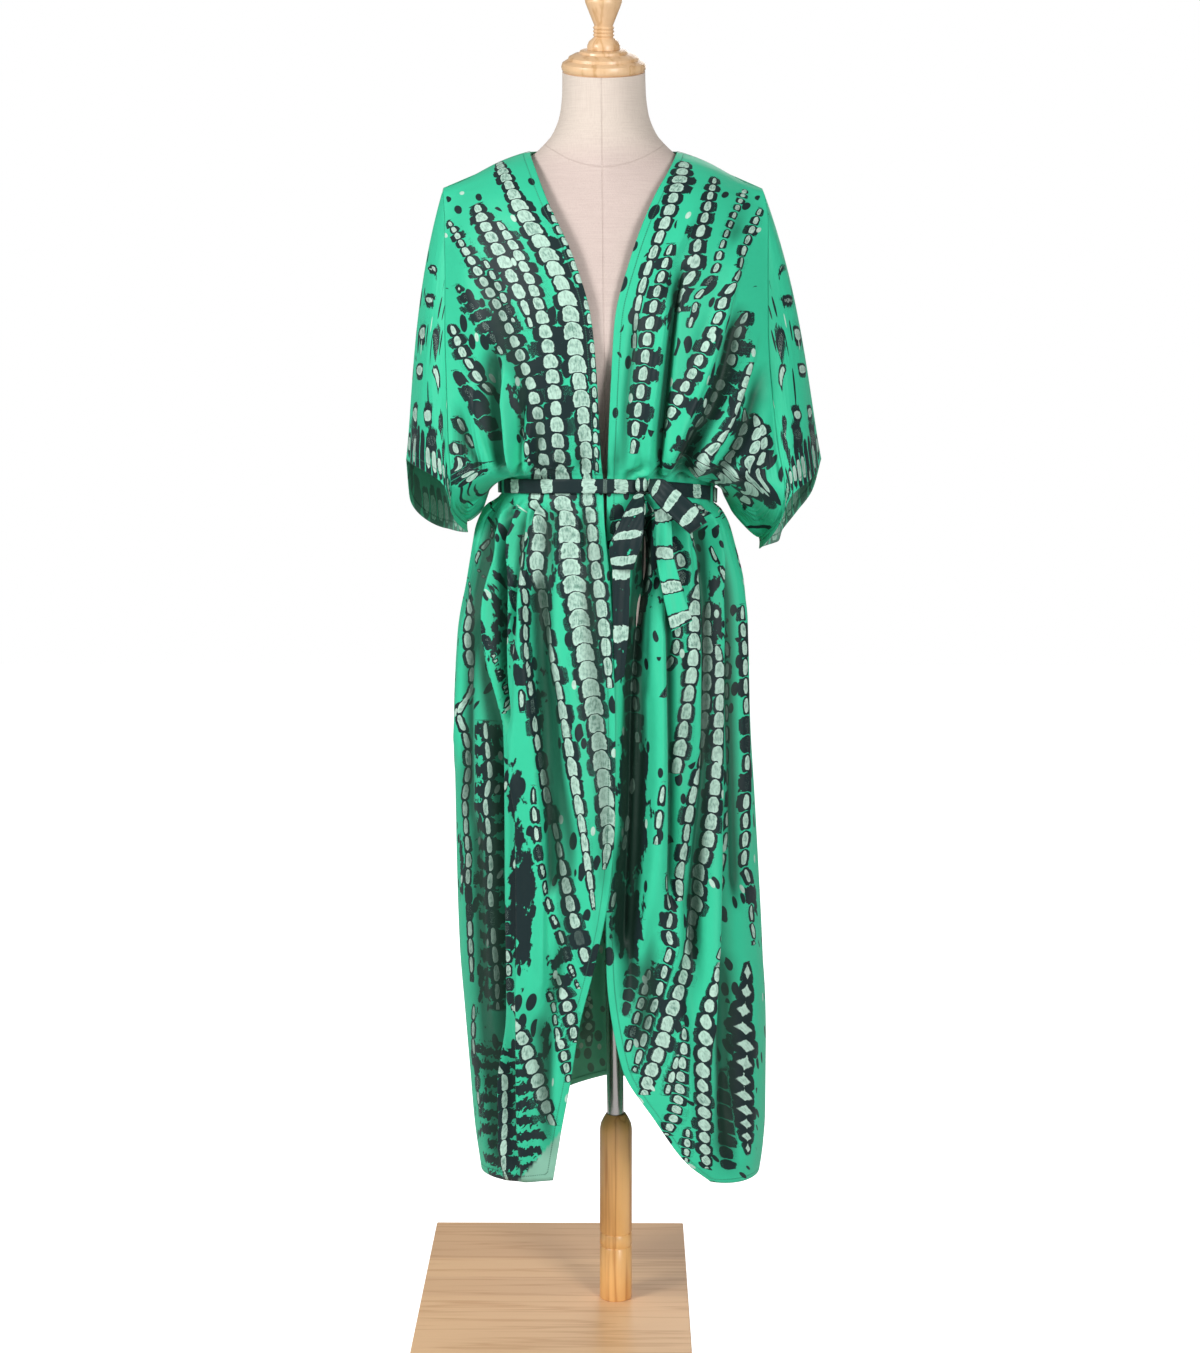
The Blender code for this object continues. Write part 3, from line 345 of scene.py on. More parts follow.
# The finer folds, read like the print's tracks: depth positive outward; width and
# track in the photograph's pixels, the track as (down, across); lean as for the folds above.
Crease = namedtuple("Crease", "depth width lean track")
CREASES_LEFT = (
    # blouse
    Crease(3.0, 16, 0.0, ((215, 458), (300, 478), (380, 500), (470, 515))),
    Crease(-3.5, 14, 0.0, ((250, 470), (330, 497), (400, 520), (440, 530))),
    Crease(-10.0, 10, 0.3, ((335, 488), (400, 495), (440, 498), (482, 503))),
    Crease(6.0, 5, -0.8, ((370, 503), (430, 510), (483, 514))),
    Crease(-4.5, 4, 0.0, ((400, 520), (440, 520), (482, 519))),
    Crease(4.0, 4.5, 0.0, ((380, 531), (440, 528), (482, 524))),
    Crease(-3.0, 4, 0.0, ((410, 540), (450, 537), (482, 531))),
    Crease(-2.5, 5, 0.0, ((430, 560), (482, 556))),
    Crease(-2.0, 4, 0.0, ((440, 581), (482, 578))),
    Crease(5.0, 9, 0.5, ((375, 470), (430, 478), (478, 492))),
    Crease(-5.0, 7, 0.0, ((400, 458), (440, 464), (476, 482))),
    # skirt
    Crease(8.0, 7, -0.9, (
        (500, 506), (560, 496), (631, 489), (707, 501), (742, 508), (855, 507), (989, 509),
        (1084, 502), (1170, 507),
    )),
    Crease(-8.0, 8, 0.0, (
        (520, 496), (600, 480), (700, 488), (760, 497), (900, 497), (1010, 499), (1090, 492),
        (1165, 496),
    )),
    Crease(-10.0, 6, 0.4, ((492, 513), (530, 506), (569, 501), (650, 502), (720, 512))),
    Crease(5.5, 5, -0.8, ((500, 522), (560, 512), (662, 511), (713, 514), (800, 520))),
    Crease(-7.0, 5, 0.3, ((492, 529), (534, 520), (580, 518), (640, 519))),
    Crease(6.0, 7, 0.8, (
        (495, 536), (605, 525), (649, 527), (700, 530), (816, 538), (906, 541), (985, 541),
    )),
    Crease(-6.0, 8, 0.0, ((560, 536), (640, 539), (720, 545), (820, 551), (900, 553))),
    Crease(4.0, 9, 0.6, ((868, 558), (893, 552), (940, 548), (1010, 538))),
    Crease(-4.0, 8, 0.0, ((663, 548), (760, 556), (860, 570), (930, 566), (1010, 556))),
    Crease(3.5, 9, 0.0, ((640, 560), (760, 577), (880, 590), (970, 590))),
    Crease(-2.5, 9, 0.0, ((560, 586), (700, 597), (820, 603), (900, 600))),
    Crease(-5.0, 6, 0.0, ((494, 500), (530, 487), (600, 471), (700, 466), (820, 467))),
    Crease(4.0, 5, -0.5, ((494, 497), (530, 482), (580, 473), (640, 463), (760, 458))),
    Crease(-3.5, 5, 0.0, ((492, 548), (530, 545), (570, 546))),
    Crease(-3.0, 4, 0.0, ((492, 580), (530, 583), (560, 586))),
    Crease(-5.0, 9, 0.0, ((800, 472), (900, 476), (1010, 481), (1090, 488))),
    Crease(4.0, 9, 0.4, ((960, 520), (1050, 522), (1120, 528), (1176, 530))),
    Crease(-3.5, 9, 0.0, ((1000, 534), (1080, 544), (1150, 548))),
)
CREASES_RIGHT = (
    # blouse
    Crease(-10.0, 6, 0.5, ((262, 683), (330, 672), (400, 665), (447, 659), (480, 655))),
    Crease(4.5, 6, 0.0, ((290, 670), (350, 661), (420, 652), (478, 647))),
    Crease(6.5, 12, 0.5, ((230, 740), (330, 717), (400, 692), (433, 679), (478, 663))),
    Crease(-6.0, 8, 0.0, ((300, 742), (400, 717), (440, 697), (476, 676))),
    Crease(-9.0, 7, 0.0, ((418, 704), (450, 692), (480, 681))),
    Crease(5.0, 8, 0.6, ((330, 758), (420, 728), (460, 706), (482, 688))),
    Crease(-4.5, 7, 0.0, ((360, 764), (430, 745), (470, 720), (486, 700))),
    Crease(4.0, 8, 0.0, ((400, 768), (450, 756), (484, 728), (494, 708))),
    Crease(-3.0, 5, 0.0, ((300, 640), (400, 628), (480, 624))),
    Crease(2.5, 7, 0.0, ((200, 700), (300, 655), (400, 640), (480, 635))),
    Crease(-3.0, 8, 0.0, ((200, 745), (280, 725), (350, 700), (420, 682))),
    Crease(-3.0, 4, 0.0, ((430, 618), (482, 616))),
    # skirt
    Crease(-13.0, 9, 0.3, ((494, 650), (560, 648), (610, 640), (700, 631), (800, 628), (950, 622))),
    Crease(8.0, 9, -0.4, ((494, 660), (560, 656), (620, 652), (740, 655), (850, 652), (960, 640))),
    Crease(-8.0, 5, 0.0, ((494, 670), (560, 665), (600, 668), (720, 670), (800, 671), (900, 668))),
    Crease(6.0, 10, 0.3, ((494, 680), (600, 685), (700, 687), (850, 682), (980, 672))),
    Crease(-9.0, 6, 0.0, ((494, 692), (560, 704), (650, 707), (740, 706), (850, 700), (960, 694))),
    Crease(6.5, 7, 0.5, ((494, 697), (560, 715), (650, 720), (760, 720), (900, 714), (1050, 706))),
    Crease(-6.0, 5, 0.0, ((496, 702), (540, 719), (600, 731), (700, 733), (800, 736), (900, 738))),
    Crease(4.0, 6, 0.5, ((498, 708), (540, 725), (620, 741), (720, 743), (850, 747))),
    Crease(3.5, 8, 0.0, ((560, 626), (640, 618), (740, 618), (850, 618))),
    Crease(-4.0, 9, 0.0, ((900, 652), (980, 650), (1050, 640))),
    Crease(4.0, 12, 0.3, ((900, 690), (1010, 684), (1120, 690))),
    Crease(-4.0, 12, 0.0, ((950, 726), (1050, 724), (1165, 728))),
    Crease(3.0, 10, 0.0, ((960, 752), (1060, 750), (1165, 748))),
)
CREASE_FADE = 34  # pixels over which a crease dies away at each end
CREASE_REST = 0.35  # the part of its depth that it keeps at its low end
CREASE_SCALE = 0.0015  # metres a unit of depth
VALLEY_DEPTH = 0.0065  # a fold this deep is in full shade
FOLD_SHADE = 0.5  # how much of a large fold's depth counts as shade

# The gathers that the belt holds: height, how far they fade above and below it, wave lengths.
GATHER = 0.0062
GATHER_FADE = (0.055, 0.130)
GATHER_WAVES = (0.0135, 0.0190, 0.0310)
GATHER_BEND, GATHER_SWAY = 2.2, 0.047  # how far the pleats stray, in radians, and over what length
GATHER_PATCH = 0.083  # from one stretch of deep pleats to the next
GATHER_START, GATHER_RISE = 0.010, 0.016  # from the belt, and the length they rise over
HOLD_START, HOLD_RISE = 0.012, 0.014  # the same for all folds
BELT_Z = {"front_left": 1.008, "front_right": 1.000, "back": 1.004}  # the belt's middle


def seen_from_front(grid):
    """Where the camera sees each point, in the photograph's pixels: (down, across)."""
    turn = Euler((math.pi / 2 - CAMERA_PITCH, 0, CAMERA_YAW)).to_matrix()
    local = (grid - np.array(CAMERA_PLACE)) @ np.array(turn)
    across = PHOTO_WIDTH / 2 - FOCAL_PIXELS * local[:, :, 0] / local[:, :, 2]
    down = PHOTO_HEIGHT / 2 + FOCAL_PIXELS * local[:, :, 1] / local[:, :, 2]
    return down, across


def fold_fields(panel, x, z):
    """How far a panel's folds lift its surface at (x, z), and how far they push it sideways."""
    lift, push = np.zeros_like(x), np.zeros_like(x)
    for fold in FOLDS:
        if fold.panel != panel:
            continue
        down = (fold.top_z - z) / (fold.top_z - fold.low_z)
        centre = fold.top_x + (fold.low_x - fold.top_x) * down
        start = np.clip((fold.top_z - z) / FOLD_FADE, 0, 1)
        end = np.clip((z - fold.low_z) / FOLD_FADE + FOLD_REST, 0, 1)
        across = (x - centre) / fold.width
        steep = 1 + STEEP * np.clip(np.sign(across) * fold.lean, 0, 1)
        height = fold.depth * start * end * np.exp(-((across * steep) ** 2))
        lift += height
        push += np.abs(height) * fold.lean * OVERHANG
    return lift, push


def outward_normals(grid):
    """Unit normals of a grid that point away from the body's middle."""
    normal = grid_normals(grid)
    centre = np.array([axis_x(1.0), 0.0])
    outward = (normal[:, :, :2] * (grid[:, :, :2] - centre)).sum(axis=2, keepdims=True)
    return normal * np.where(outward < 0, -1.0, 1.0)


def crease_fields(creases, grid):
    """Lift and sideways push of the finer folds, placed where the camera sees them."""
    lift, push = np.zeros(grid.shape[:2]), np.zeros(grid.shape[:2])
    down, across = seen_from_front(grid)
    for crease in creases:
        knots = np.array([point[0] for point in crease.track], float)
        values = np.array([point[1:] for point in crease.track], float)
        inside = np.clip(down, knots[0], knots[-1])
        centre = smooth_through(knots, values, inside.ravel()).reshape(down.shape)
        fade = np.clip((down - knots[0]) / CREASE_FADE, 0, 1) * np.clip(
            (knots[-1] - down) / CREASE_FADE + CREASE_REST, 0, 1
        )
        away = (across - centre) / crease.width
        steep = 1 + STEEP * np.clip(np.sign(away) * crease.lean, 0, 1)
        height = crease.depth * CREASE_SCALE * fade * np.exp(-((away * steep) ** 2))
        lift += height
        push += np.abs(height) * crease.lean * OVERHANG
    return lift, push


def gather_lift(panel, grid, seed):
    """The small uneven pleats that the belt draws the cloth into."""
    draw = random.Random(seed)
    across = run_along(grid, 1)
    waist = np.argmin(np.abs(grid[:, :, 2] - BELT_Z[panel]), axis=0)
    place = across[waist, np.arange(grid.shape[1])]
    away = run_along(grid, 0)
    away = away - away[waist, np.arange(grid.shape[1])]
    fade = np.where(away < 0, GATHER_FADE[0], GATHER_FADE[1])
    rise = np.clip((np.abs(away) - GATHER_START) / GATHER_RISE, 0, 1)
    size = np.exp(-((away / fade) ** 2)) * rise
    wave = np.zeros(grid.shape[1])
    for length in GATHER_WAVES:
        turn, drift = draw.uniform(0, 6), draw.uniform(0.6, 1.4)
        bend = GATHER_BEND * np.sin(place / GATHER_SWAY * drift + turn)
        wave += np.sin(place / length * 2 * math.pi + bend + draw.uniform(0, 6)) / 2
    patchy = 0.5 + 0.5 * np.sin(place / GATHER_PATCH * 2 * math.pi + draw.uniform(0, 6))
    return GATHER * size * (wave * (0.45 + 0.55 * patchy))[None, :]


def folded(panel, grid, creases=()):
    """The grid with its folds, lifted away from the body's middle, and the painted shade of its
    valleys, 0 to 1.
    """
    lift, push = fold_fields(panel, grid[:, :, 0], grid[:, :, 2])
    finer, sideways = crease_fields(creases, grid)
    finer = finer + gather_lift(panel, grid, len(panel))
    hold = np.clip((np.abs(grid[:, :, 2] - BELT_Z[panel]) - HOLD_START) / HOLD_RISE, 0, 1)
    moved = grid + outward_normals(grid) * ((lift + finer) * hold)[:, :, None]
    moved[:, :, 0] += (push + sideways) * hold
    # painted shade: the deeper the cloth lies in a valley, the darker its colour is painted
    painted_shade = np.clip(-(lift * FOLD_SHADE + finer) * hold / VALLEY_DEPTH, 0, 1)
    return moved, painted_shade


def front_base(levels):
    """A front panel without folds, from its front edge to its side seam."""
    u = np.linspace(0, 1, FRONT_COLUMNS + 1)
    curves = [
        half_section(
            level,
            (level.x, -level.depth, level.z),
            (level.side_x, -level.side_front, level.side_z),
            u,
        )
        for level in levels
    ]
    return lofted(curves, ROW_STEP)


def back_base():
    """The back panel without folds, from the left side seam to the right one."""
    left, right = back_half(LEFT_LEVELS, BACK_COLUMNS), back_half(RIGHT_LEVELS, BACK_COLUMNS)
    curves = [np.concatenate([a[::-1], b[1:]]) for a, b in zip(left, right)]
    return lofted(curves, ROW_STEP)


def run_along(grid, axis):
    """Length along the grid's lines from their first point."""
    step = np.linalg.norm(np.diff(grid, axis=axis), axis=2)
    start = np.zeros_like(np.take(step, [0], axis=axis))
    return np.concatenate([start, np.cumsum(step, axis=axis)], axis=axis)


def back_yoke(facets, level, spine, neck_drop):
    """One side of a row near the top of the back: round the back of the neck, then the shoulder."""
    neck_x, neck_z, shoulder_y = axis_x(level.z), level.z - neck_drop, level.side_back
    points = []
    for share in np.linspace(0, 1, facets + 1):
        turn = min(share / NECK_SHARE, 1) * math.pi / 2
        along = max(share - NECK_SHARE, 0) / (1 - NECK_SHARE)
        rim_x = neck_x + (level.x - neck_x) * math.sin(turn)
        rim_z = neck_z + (spine.z - neck_z) * math.cos(turn) ** 2
        points.append((
            rim_x + (level.side_x - level.x) * along,
            shoulder_y + (spine.depth - shoulder_y) * math.cos(turn),
            rim_z + (level.side_z - neck_z) * along,
        ))
    return np.array(points)


def back_half(levels, facets):
    """Half of the back panel's sections, each from the middle to the side seam."""
    u = np.linspace(0, 1, facets + 1)
    seam, crest = levels[0], levels[1]._replace(x=levels[0].x, z=levels[0].z)
    curves = [
        back_yoke(facets, seam, BACK_LEVELS[0], 0.0),
        back_yoke(facets, crest, BACK_LEVELS[1], CREST_DROP),
    ]
    for level, spine in zip(levels[2:], BACK_LEVELS[2:]):
        middle = (axis_x(spine.z), spine.depth, spine.z)
        side = (level.side_x, level.side_back, level.side_z)
        curves.append(half_section(level, middle, side, u))
    return curves


# The cuff's edge, from the top fold round the front, the underarm and the back.
# share: how far round from the top fold.
Cuff = namedtuple("Cuff", "share x y z")
LEFT_CUFF = (
    Cuff(0.00, -0.2440, 0.0000, 1.0360),
    Cuff(0.14, -0.2280, -0.0500, 1.0300),
    Cuff(0.34, -0.1925, -0.0900, 1.0080),
    Cuff(0.43, -0.1860, -0.0560, 0.9720),
    Cuff(0.50, -0.1730, -0.0050, 0.9520),
    Cuff(0.60, -0.1880, 0.0560, 0.9480),
    Cuff(0.72, -0.2050, 0.0800, 0.9500),
    Cuff(0.84, -0.2280, 0.0600, 0.9630),
    Cuff(0.93, -0.2430, 0.0300, 0.9900),
    Cuff(1.00, -0.2440, 0.0000, 1.0360),
)
RIGHT_CUFF = (
    Cuff(0.00, 0.2370, 0.0000, 1.0370),
    Cuff(0.14, 0.2250, -0.0500, 1.0200),
    Cuff(0.34, 0.1965, -0.0930, 0.9990),
    Cuff(0.43, 0.1830, -0.0560, 0.9600),
    Cuff(0.50, 0.1660, -0.0050, 0.9330),
    Cuff(0.60, 0.1920, 0.0620, 0.9360),
    Cuff(0.72, 0.1980, 0.0780, 0.9480),
    Cuff(0.84, 0.2140, 0.0600, 0.9720),
    Cuff(0.93, 0.2300, 0.0300, 1.0000),
    Cuff(1.00, 0.2370, 0.0000, 1.0370),
)


def side_edge(levels, back):
    """The armhole seam on one panel, from the shoulder down to the underarm."""
    points = [
        (level.side_x, level.side_back if back else -level.side_front, level.side_z)
        for level in levels[:ARMHOLE_LEVELS]
    ]
    return np.array(points)


def armhole(levels, shares):
    """Points round the armhole at the shares of the way round, front first."""
    loops = []
    for back in (False, True):
        edge = side_edge(levels, back)
        pieces = np.linalg.norm(np.diff(edge, axis=0), axis=1)
        length = np.concatenate([[0], np.cumsum(pieces)])
        loops.append((length / length[-1], edge))
    points = []
    for share in shares:
        knots, edge = loops[0] if share <= 0.5 else loops[1]
        place = share * 2 if share <= 0.5 else (1 - share) * 2
        points.append(smooth_through(knots, edge, [place])[0])
    return np.array(points)


def sleeve(levels, cuff, facets, rows):
    """A sleeve as rings of points, from the armhole down to the cuff."""
    shares = np.linspace(0, 1, facets + 1)[:-1]
    top = armhole(levels, shares)
    knots = [row.share for row in cuff]
    low = smooth_through(knots, [(row.x, row.y, row.z) for row in cuff], shares)
    centre = np.array([axis_x(1.1), 0.0, 0.0])
    run = low - top
    length = np.linalg.norm(run, axis=1, keepdims=True)
    seam = np.roll(top, -1, axis=0) - np.roll(top, 1, axis=0)
    seam /= np.linalg.norm(seam, axis=1, keepdims=True)
    away = run - seam * (run * seam).sum(axis=1, keepdims=True)
    away /= np.linalg.norm(away, axis=1, keepdims=True)
    outward = (top + low) / 2 - centre
    outward[:, 2] = 0
    outward /= np.linalg.norm(outward, axis=1, keepdims=True)
    start = top + away * SLEEVE_CLEAR
    bulge = outward * SLEEVE_BULGE * np.minimum(length / BULGE_LENGTH, 1)
    grid = [
        start + (low - start) * t + bulge * 4 * t * (1 - t) ** 1.5
        for t in np.linspace(0, 1, rows + 1)
    ]
    return np.array(grid)


# z, half width, depth before and behind the middle, and how pointed the ring's ends are.
Ring = namedtuple("Ring", "z width front back power")
TORSO_RINGS = (
    Ring(FORM_BOTTOM, 0.1400, 0.1000, 0.1050, 2.2),
    Ring(0.760, 0.1480, 0.1050, 0.1140, 2.2),
    Ring(0.820, 0.1490, 0.1060, 0.1160, 2.2),
    Ring(0.880, 0.1420, 0.1030, 0.1080, 2.2),
    Ring(0.940, 0.1250, 0.0940, 0.0920, 2.2),
    Ring(1.000, 0.1130, 0.0860, 0.0800, 2.2),
    Ring(1.060, 0.1170, 0.0920, 0.0820, 2.2),
    Ring(1.120, 0.1270, 0.1120, 0.0880, 2.2),
    Ring(1.175, 0.1360, 0.1250, 0.0940, 2.2),
    Ring(1.230, 0.1420, 0.1140, 0.0970, 2.1),
    Ring(1.280, 0.1510, 0.0970, 0.0930, 2.0),
    Ring(1.310, 0.1600, 0.0860, 0.0870, 1.9),
    Ring(1.330, 0.1640, 0.0790, 0.0810, 1.7),
    Ring(1.343, 0.1620, 0.0740, 0.0740, 1.5),
    Ring(1.352, 0.1520, 0.0700, 0.0700, 1.4),
    Ring(1.362, 0.1285, 0.0670, 0.0660, 1.35),
    Ring(1.372, 0.1043, 0.0640, 0.0630, 1.4),
    Ring(1.382, 0.0825, 0.0610, 0.0590, 1.6),
    Ring(1.392, 0.0710, 0.0580, 0.0560, 1.9),
    Ring(1.405, 0.0595, 0.0540, 0.0520, 2.0),
    Ring(1.430, 0.0500, 0.0490, 0.0470, 2.0),
    Ring(1.452, 0.0475, 0.0475, 0.0455, 2.0),
    Ring(NECK_TOP, 0.0470, 0.0470, 0.0450, 2.0),
)
TORSO_SEGMENTS = 160
TORSO_CREASE = math.radians(50)  # an edge sharper than this stays sharp
TURNED_CREASE = math.radians(40)
NECK_FORWARD = 0.006  # how far the neck's top leans to the front
NECK_FOOT = 1.380  # height where the neck starts to lean
SLANT_FOOT = 1.400  # height where the rings start to slant


def torso_point(ring, angle):
    """A point of a torso ring; angle 0 is to the right, a quarter turn is the back."""
    c, s = math.cos(angle), math.sin(angle)
    depth = ring.back if s > 0 else ring.front
    reach = (abs(c) ** ring.power + abs(s) ** ring.power) ** (-1 / ring.power)
    forward = NECK_FORWARD * max(ring.z - NECK_FOOT, 0) / (NECK_TOP - NECK_FOOT)
    x = axis_x(ring.z) + ring.width * reach * c
    y = depth * reach * s - forward
    slant = max(ring.z - SLANT_FOOT, 0) / (NECK_TOP - SLANT_FOOT) * math.tan(NECK_TILT)
    return x, y, ring.z + slant * (y + forward)


# Radius and height above the neck, on the cap's own tilted axis.
CAP_PROFILE = (
    (0.0, 0.0),
    (0.0450, 0.0),
    (0.0474, 0.0025),
    (0.0482, 0.0060),
    (0.0470, 0.0100),
    (0.0425, 0.0128),
    (0.0405, 0.0135),
    (0.0398, 0.0165),
    (0.0335, 0.0198),
    (0.0278, 0.0208),
    (0.0270, 0.0232),
    (0.0235, 0.0248),
    (0.0, 0.0248),
)
FINIAL_PROFILE = (
    (0.0, 0.0251),
    (0.0186, 0.0251),
    (0.0187, 0.0290),
    (0.0168, 0.0335),
    (0.0130, 0.0368),
    (0.0108, 0.0388),
    (0.0122, 0.0408),
    (0.0108, 0.0428),
    (0.0122, 0.0448),
    (0.0108, 0.0468),
    (0.0122, 0.0488),
    (0.0106, 0.0512),
    (0.0125, 0.0560),
    (0.0158, 0.0640),
    (0.0190, 0.0720),
    (0.0208, 0.0765),
    (0.0212, 0.0795),
    (0.0196, 0.0830),
    (0.0160, 0.0885),
    (0.0105, 0.0935),
    (0.0050, 0.0960),
    (0.0, 0.0965),
)
COLUMN_PROFILE = (
    (0.0, BASE_HEIGHT + CONTACT),
    (COLUMN_RADIUS - 0.0005, BASE_HEIGHT + CONTACT),
    (COLUMN_RADIUS, BASE_HEIGHT + 0.0015),
    (COLUMN_RADIUS, 0.0865),
    (COLUMN_RADIUS - 0.0012, 0.0880),
    (COLUMN_RADIUS, 0.0895),
    (COLUMN_RADIUS, 0.1030),
    (COLUMN_RADIUS - 0.0012, 0.1045),
    (COLUMN_RADIUS, 0.1060),
    (COLUMN_RADIUS, 0.2330),
    (COLUMN_RADIUS - 0.0012, 0.2400),
    (COLUMN_RADIUS - 0.0045, 0.2470),
    (0.0118, COLUMN_TOP),
    (0.0, COLUMN_TOP),
)


def waist_loop(facets):
    """The cloth's outline at the waist, all round, as fine as asked."""
    u = np.linspace(0, 1, facets // 4 + 1)
    loops = []
    for levels in (LEFT_LEVELS, RIGHT_LEVELS):
        halves = []
        for number in WAIST_LEVELS:
            level, spine = levels[number], BACK_LEVELS[number]
            side = (level.side_x, 0.0, level.side_z)
            halves.append((
                half_section(level, (level.x, -level.depth, level.z), side, u),
                half_section(level, (axis_x(spine.z), spine.depth, spine.z), side, u),
            ))
        loops.append([(above + below) / 2 for above, below in zip(*halves)])
    (left_front, left_back), (right_front, right_back) = loops
    back = [left_back[::-1][1:], right_back[1:]]
    return np.concatenate([left_front, *back, right_front[::-1][1:]])


def ring_normals(loop):
    """Level unit normals of a closed loop, away from its middle."""
    ahead = np.roll(loop, -1, axis=0) - np.roll(loop, 1, axis=0)
    normal = np.stack([ahead[:, 1], -ahead[:, 0], np.zeros(len(loop))], axis=1)
    normal /= np.linalg.norm(normal, axis=1, keepdims=True)
    middle = loop.mean(axis=0)
    if ((loop - middle) * normal).sum() < 0:
        normal = -normal
    return normal


# A band of the belt's cloth: x, y, z of its middle line and half its width as (wide_x, wide_z).
Band = namedtuple("Band", "x y z wide_x wide_z")
BOW = {
    "bow_loop_left": (
        Band(0.0262, -0.1205, 1.0053, 0.0042, 0.0000),
        Band(0.0205, -0.1400, 0.9900, 0.0105, 0.0030),
        Band(0.0170, -0.1490, 0.9750, 0.0138, 0.0030),
        Band(0.0100, -0.1545, 0.9470, 0.0175, 0.0020),
        Band(0.0075, -0.1535, 0.9290, 0.0130, 0.0010),
        Band(0.0078, -0.1500, 0.9225, 0.0115, 0.0000),
        Band(0.0090, -0.1460, 0.9300, 0.0120, 0.0010),
        Band(0.0130, -0.1420, 0.9550, 0.0125, 0.0020),
        Band(0.0195, -0.1340, 0.9850, 0.0100, 0.0020),
        Band(0.0262, -0.1187, 1.0050, 0.0042, 0.0000),
    ),
    "bow_loop_right": (
        Band(0.0359, -0.1190, 1.0155, 0.0010, 0.0048),
        Band(0.0450, -0.1400, 1.0110, 0.0050, 0.0105),
        Band(0.0600, -0.1500, 0.9990, 0.0075, 0.0105),
        Band(0.0780, -0.1530, 0.9830, 0.0090, 0.0095),
        Band(0.0880, -0.1510, 0.9710, 0.0095, 0.0070),
        Band(0.0905, -0.1460, 0.9680, 0.0095, 0.0065),
        Band(0.0860, -0.1420, 0.9730, 0.0095, 0.0080),
        Band(0.0700, -0.1400, 0.9870, 0.0080, 0.0095),
        Band(0.0500, -0.1310, 1.0030, 0.0055, 0.0090),
        Band(0.0360, -0.1170, 1.0125, 0.0010, 0.0045),
    ),
    "belt_end_left": (
        Band(0.0270, -0.1169, 1.0045, 0.0036, 0.0000),
        Band(0.0240, -0.1275, 0.9850, 0.0085, 0.0020),
        Band(0.0130, -0.1380, 0.9500, 0.0095, 0.0000),
        Band(0.0055, -0.1430, 0.9150, 0.0097, 0.0000),
        Band(0.0054, -0.1440, 0.8650, 0.0089, 0.0000),
        Band(0.0040, -0.1445, 0.7980, 0.0052, 0.0040),
    ),
    "belt_end_right": (
        Band(0.0325, -0.1148, 1.0045, 0.0030, 0.0000),
        Band(0.0430, -0.1215, 0.9960, 0.0066, 0.0030),
        Band(0.0520, -0.1330, 0.9840, 0.0092, 0.0020),
        Band(0.0530, -0.1370, 0.9450, 0.0095, 0.0000),
        Band(0.0610, -0.1400, 0.9040, 0.0108, 0.0015),
        Band(0.0732, -0.1420, 0.8580, 0.0117, 0.0060),
    ),
}
KNOT_PLACE = (0.0280, -0.1168, 1.0135)
KNOT_SIZE = (0.0068, 0.0064, 0.0082)
KNOT_SQUARENESS = 0.75


def squared(value):
    """A sine or cosine moved outwards, which squares a round form."""
    return math.copysign(abs(value) ** KNOT_SQUARENESS, value)


# ---------------------------------------------------------------- the print

# A column of cells. set: a or b, so that neighbours may overlap; pitch: a cell's length at the top
# and at the low end; halo: how far the dark edge stands out, in half widths; light: the share of
# cells that are pale; fill: a cell's share of its pitch; blocky: 1 square, 0 pointed, under 0 a
# star; ribs: how far dark ribs reach from it, in half widths; track: (down, across, half width).
Column = namedtuple("Column", "set pitch halo light fill blocky ribs track")
SETS = ("a", "b")
FAR = 24.0  # the distance, in half widths, that stands for no column
LINE_SMOOTH = 7  # mesh rows on each side that steady a column's line
STEEPEST = 2.5  # sideways a unit down, the most that a column's cells turn with its line
END_WIDTH = 0.60  # the part of its width that a column ends with
END_CELLS = 4  # cells over which it would widen by a whole width
LEAD_REACH = 6  # half widths from the line over which the cells' slant fades

# A dark, ragged patch: the print's own dark, and painted shade where it lies over a fold's valley;
# its middle and reach, down and across, like a track's.
Blotch = namedtuple("Blotch", "down across reach_down reach_across strength")

# How a panel's tracks read: fields down and across, and one unit's length in metres.
Layout = namedtuple("Layout", "down across unit columns blotches")


def column_line(column, layout, across, down):
    """Where a column crosses each row: place across, place down and half width in metres."""
    knots = np.array([point[0] for point in column.track], float)
    values = np.array([point[1:] for point in column.track], float)
    inside = np.clip(layout.down, knots.min(), knots.max())
    place = smooth_through(knots, values, inside.ravel()).reshape(inside.shape + (2,))
    gap = layout.across - place[:, :, 0]
    crossing = np.sign(gap[:, :-1]) != np.sign(gap[:, 1:])
    first = np.argmax(crossing, axis=1)
    rows = np.arange(len(gap))
    a, b = gap[rows, first], gap[rows, first + 1]
    share = a / np.where(a == b, 1.0, a - b)

    def at(field):
        return field[rows, first] + (field[rows, first + 1] - field[rows, first]) * share

    height = at(layout.down)
    found = crossing.any(axis=1) & (height <= knots.max()) & (height >= knots.min())
    line = np.stack([at(across), at(down), at(place[:, :, 1]) * layout.unit], axis=1)
    if found.sum() > 2 * LINE_SMOOTH:
        steady = np.pad(line[found, 0], LINE_SMOOTH, mode="reflect", reflect_type="odd")
        window = np.ones(2 * LINE_SMOOTH + 1) / (2 * LINE_SMOOTH + 1)
        line[found, 0] = np.convolve(steady, window, mode="valid")
    line[~found] = np.nan
    return line


